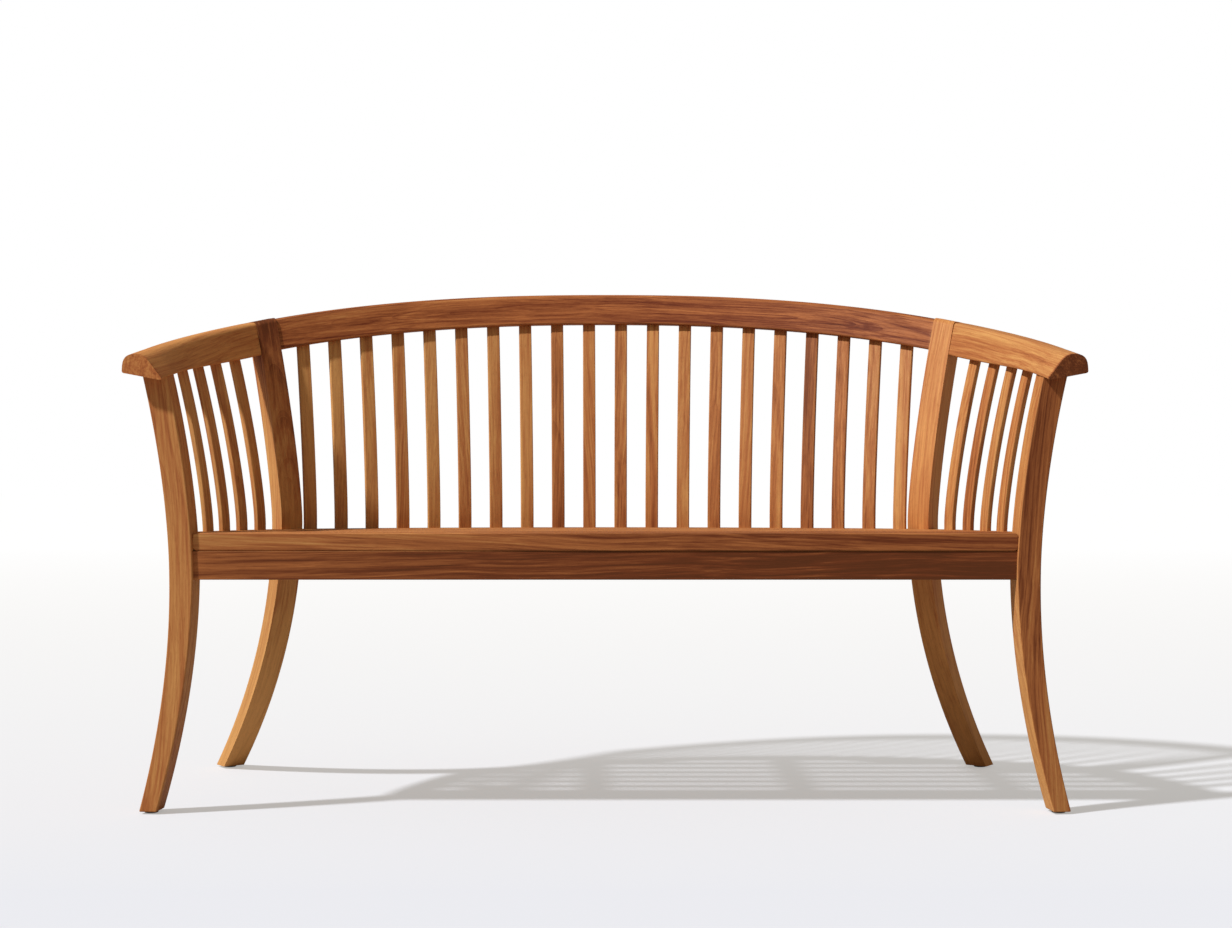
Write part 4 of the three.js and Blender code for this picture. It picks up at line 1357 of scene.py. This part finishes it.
class BENCH_OT_fittings(bpy.types.Operator):
    """Make the round bolt covers and the pads under the feet"""

    bl_idname = "bench.fittings"
    bl_label = "Covers and pads"

    def execute(self, context):
        bench = Bench(context.scene.bench_sizes)
        s = bench.sizes
        below_seat, radius, dome, sunk = 11 * MM, 14 * MM, 4 * MM, 2 * MM
        height = s.seat_height - below_seat
        face = bench.front_bow(height) + s.leg_depth / 2
        arc = [(radius * math.cos(a), dome * math.sin(a)) for a in spread(DOME_STEPS, 0.0, math.pi / 2)]
        profile = [(0.0, -sunk), (radius, -sunk), *arc[:-1], (0.0, dome)]
        for side in (RIGHT, LEFT):
            cover = turned(profile, lambda a, b, h: bench.front_leg.point(face + h, height + a, b))
            teak_piece(f"bolt_cover_{side_name(side)}", cover, bench.front_leg.local, COVER_TONE, side)
            for row, place, middle_at in (("front", bench.front_leg, bench.front_bow),
                                          ("rear", bench.rear_leg, bench.rear_bow)):
                middle = middle_at(bench.glide_thickness)
                edge, outer, top = 1 * MM, 11 * MM, bench.glide_thickness
                outline = [(0.0, 0.0), (outer - edge, 0.0), (outer - 0.3 * edge, 0.3 * edge), (outer, edge),
                           (outer, top), (0.0, top)]
                pad = turned(outline, lambda a, b, h: place.point(middle + a, h, b))
                if side == LEFT:
                    mirror(pad)
                name = f"foot_glide_{row}_{side_name(side)}"
                mesh = bpy.data.meshes.new(name)
                pad.to_mesh(mesh)
                pad.free()
                finish_piece(f"{name}_pad", mesh, [name], dark_pad())
        return {"FINISHED"}


class BENCH_OT_studio(bpy.types.Operator):
    """Make the pale floor, the lights and the camera"""

    bl_idname = "bench.studio"
    bl_label = "Studio"

    def floor(self, colours, shift):
        corners = ((-1, -1), (1, -1), (1, 1), (-1, 1))
        mesh = bpy.data.meshes.new("floor")
        mesh.from_pydata([(x * FLOOR_HALF, y * FLOOR_HALF, 0) for x, y in corners], [], [(0, 1, 2, 3)])
        floor = bpy.data.objects.new("floor", mesh)
        floor.location = (0.0, 0.0, -FLOOR_DROP)
        bpy.context.scene.collection.objects.link(floor)
        material = bpy.data.materials.new("pale_floor")
        g = empty_graph(material)
        _, y, _ = g.parts(g.node("ShaderNodeTexCoord", output=3))
        far = ((y - (shift - FAR_START)) / FAR_DEPTH).clamped() ** FAR_POWER
        tint = g.mix(far, colours.floor_near, colours.floor_far)
        seen = g.node("ShaderNodeLightPath")
        shown = g.mix(far, colours.floor_glow, colours.floor_far)
        glow = g.node("ShaderNodeEmission", None, {"Color": shown, "Strength": 1.0})
        bounce = g.mix(seen, FLOOR_BOUNCE, tint)
        matt = g.node("ShaderNodeBsdfDiffuse", None, {"Color": bounce})
        share = seen * (far * FAR_GLOW + NEAR_GLOW)
        both = g.node("ShaderNodeMixShader", None, {0: share, 1: matt, 2: glow})
        g.node("ShaderNodeOutputMaterial", None, {"Surface": both})
        mesh.materials.append(material)

    def world(self, context):
        world = bpy.data.worlds.new("studio")
        context.scene.world = world
        g = empty_graph(world)
        soft = g.node("ShaderNodeBackground", None, {"Color": SKY_COLOUR, "Strength": SKY_STRENGTH})
        white = g.node("ShaderNodeBackground", None, {"Color": WHITE, "Strength": 1.0})
        seen = g.node("ShaderNodeLightPath")
        both = g.node("ShaderNodeMixShader", None, {0: seen, 1: soft, 2: white})
        g.node("ShaderNodeOutputWorld", None, {"Surface": both})

    def lights(self, context):
        key = bpy.data.lights.new("key", "SUN")
        key.energy = SUN_STRENGTH
        key.angle = SUN_WIDTH
        key.color = SUN_COLOUR
        sun = bpy.data.objects.new("key", key)
        sun.rotation_mode = "QUATERNION"
        sun.rotation_quaternion = Vector(SUN_FROM).to_track_quat("Z", "Y")
        context.scene.collection.objects.link(sun)

    def camera(self, context, shift):
        data = bpy.data.cameras.new("camera")
        data.sensor_width = SENSOR_WIDTH
        data.lens = LENS
        data.shift_x = LENS_SHIFT
        camera = bpy.data.objects.new("camera", data)
        camera.location = (0.0, shift - CAMERA_AWAY, EYE_HEIGHT)
        camera.rotation_euler = (math.radians(90), 0.0, 0.0)
        context.scene.collection.objects.link(camera)
        context.scene.camera = camera

    def execute(self, context):
        bench = Bench(context.scene.bench_sizes)
        self.floor(context.scene.bench_colours, bench.shift)
        self.world(context)
        self.lights(context)
        self.camera(context, bench.shift)
        context.scene.view_settings.view_transform = "Standard"
        return {"FINISHED"}


class BENCH_PT_panel(bpy.types.Panel):
    """Lists what the bench is made of"""

    bl_label = "Garden bench"
    bl_idname = "BENCH_PT_panel"
    bl_space_type = "VIEW_3D"
    bl_region_type = "UI"
    bl_category = "Bench"

    def draw(self, context):
        for group in (context.scene.bench_sizes, context.scene.bench_colours):
            column = self.layout.column()
            for name in group.__annotations__:
                column.prop(group, name)
        for operator in OPERATORS:
            self.layout.operator(operator.bl_idname)


OPERATORS = (
    BENCH_OT_studio,
    BENCH_OT_top_rail,
    BENCH_OT_legs,
    BENCH_OT_slats,
    BENCH_OT_seat,
    BENCH_OT_fittings,
)
CLASSES = (BenchSizes, BenchColours, *OPERATORS, BENCH_PT_panel)


def register():
    for cls in CLASSES:
        bpy.utils.register_class(cls)
    bpy.types.Scene.bench_sizes = PointerProperty(type=BenchSizes)
    bpy.types.Scene.bench_colours = PointerProperty(type=BenchColours)


def unregister():
    del bpy.types.Scene.bench_colours
    del bpy.types.Scene.bench_sizes
    for cls in reversed(CLASSES):
        bpy.utils.unregister_class(cls)


def main():
    register()
    bpy.ops.bench.studio()
    bpy.ops.bench.top_rail()
    bpy.ops.bench.legs()
    bpy.ops.bench.slats()
    bpy.ops.bench.seat()
    bpy.ops.bench.fittings()


if __name__ == "__main__":
    main()
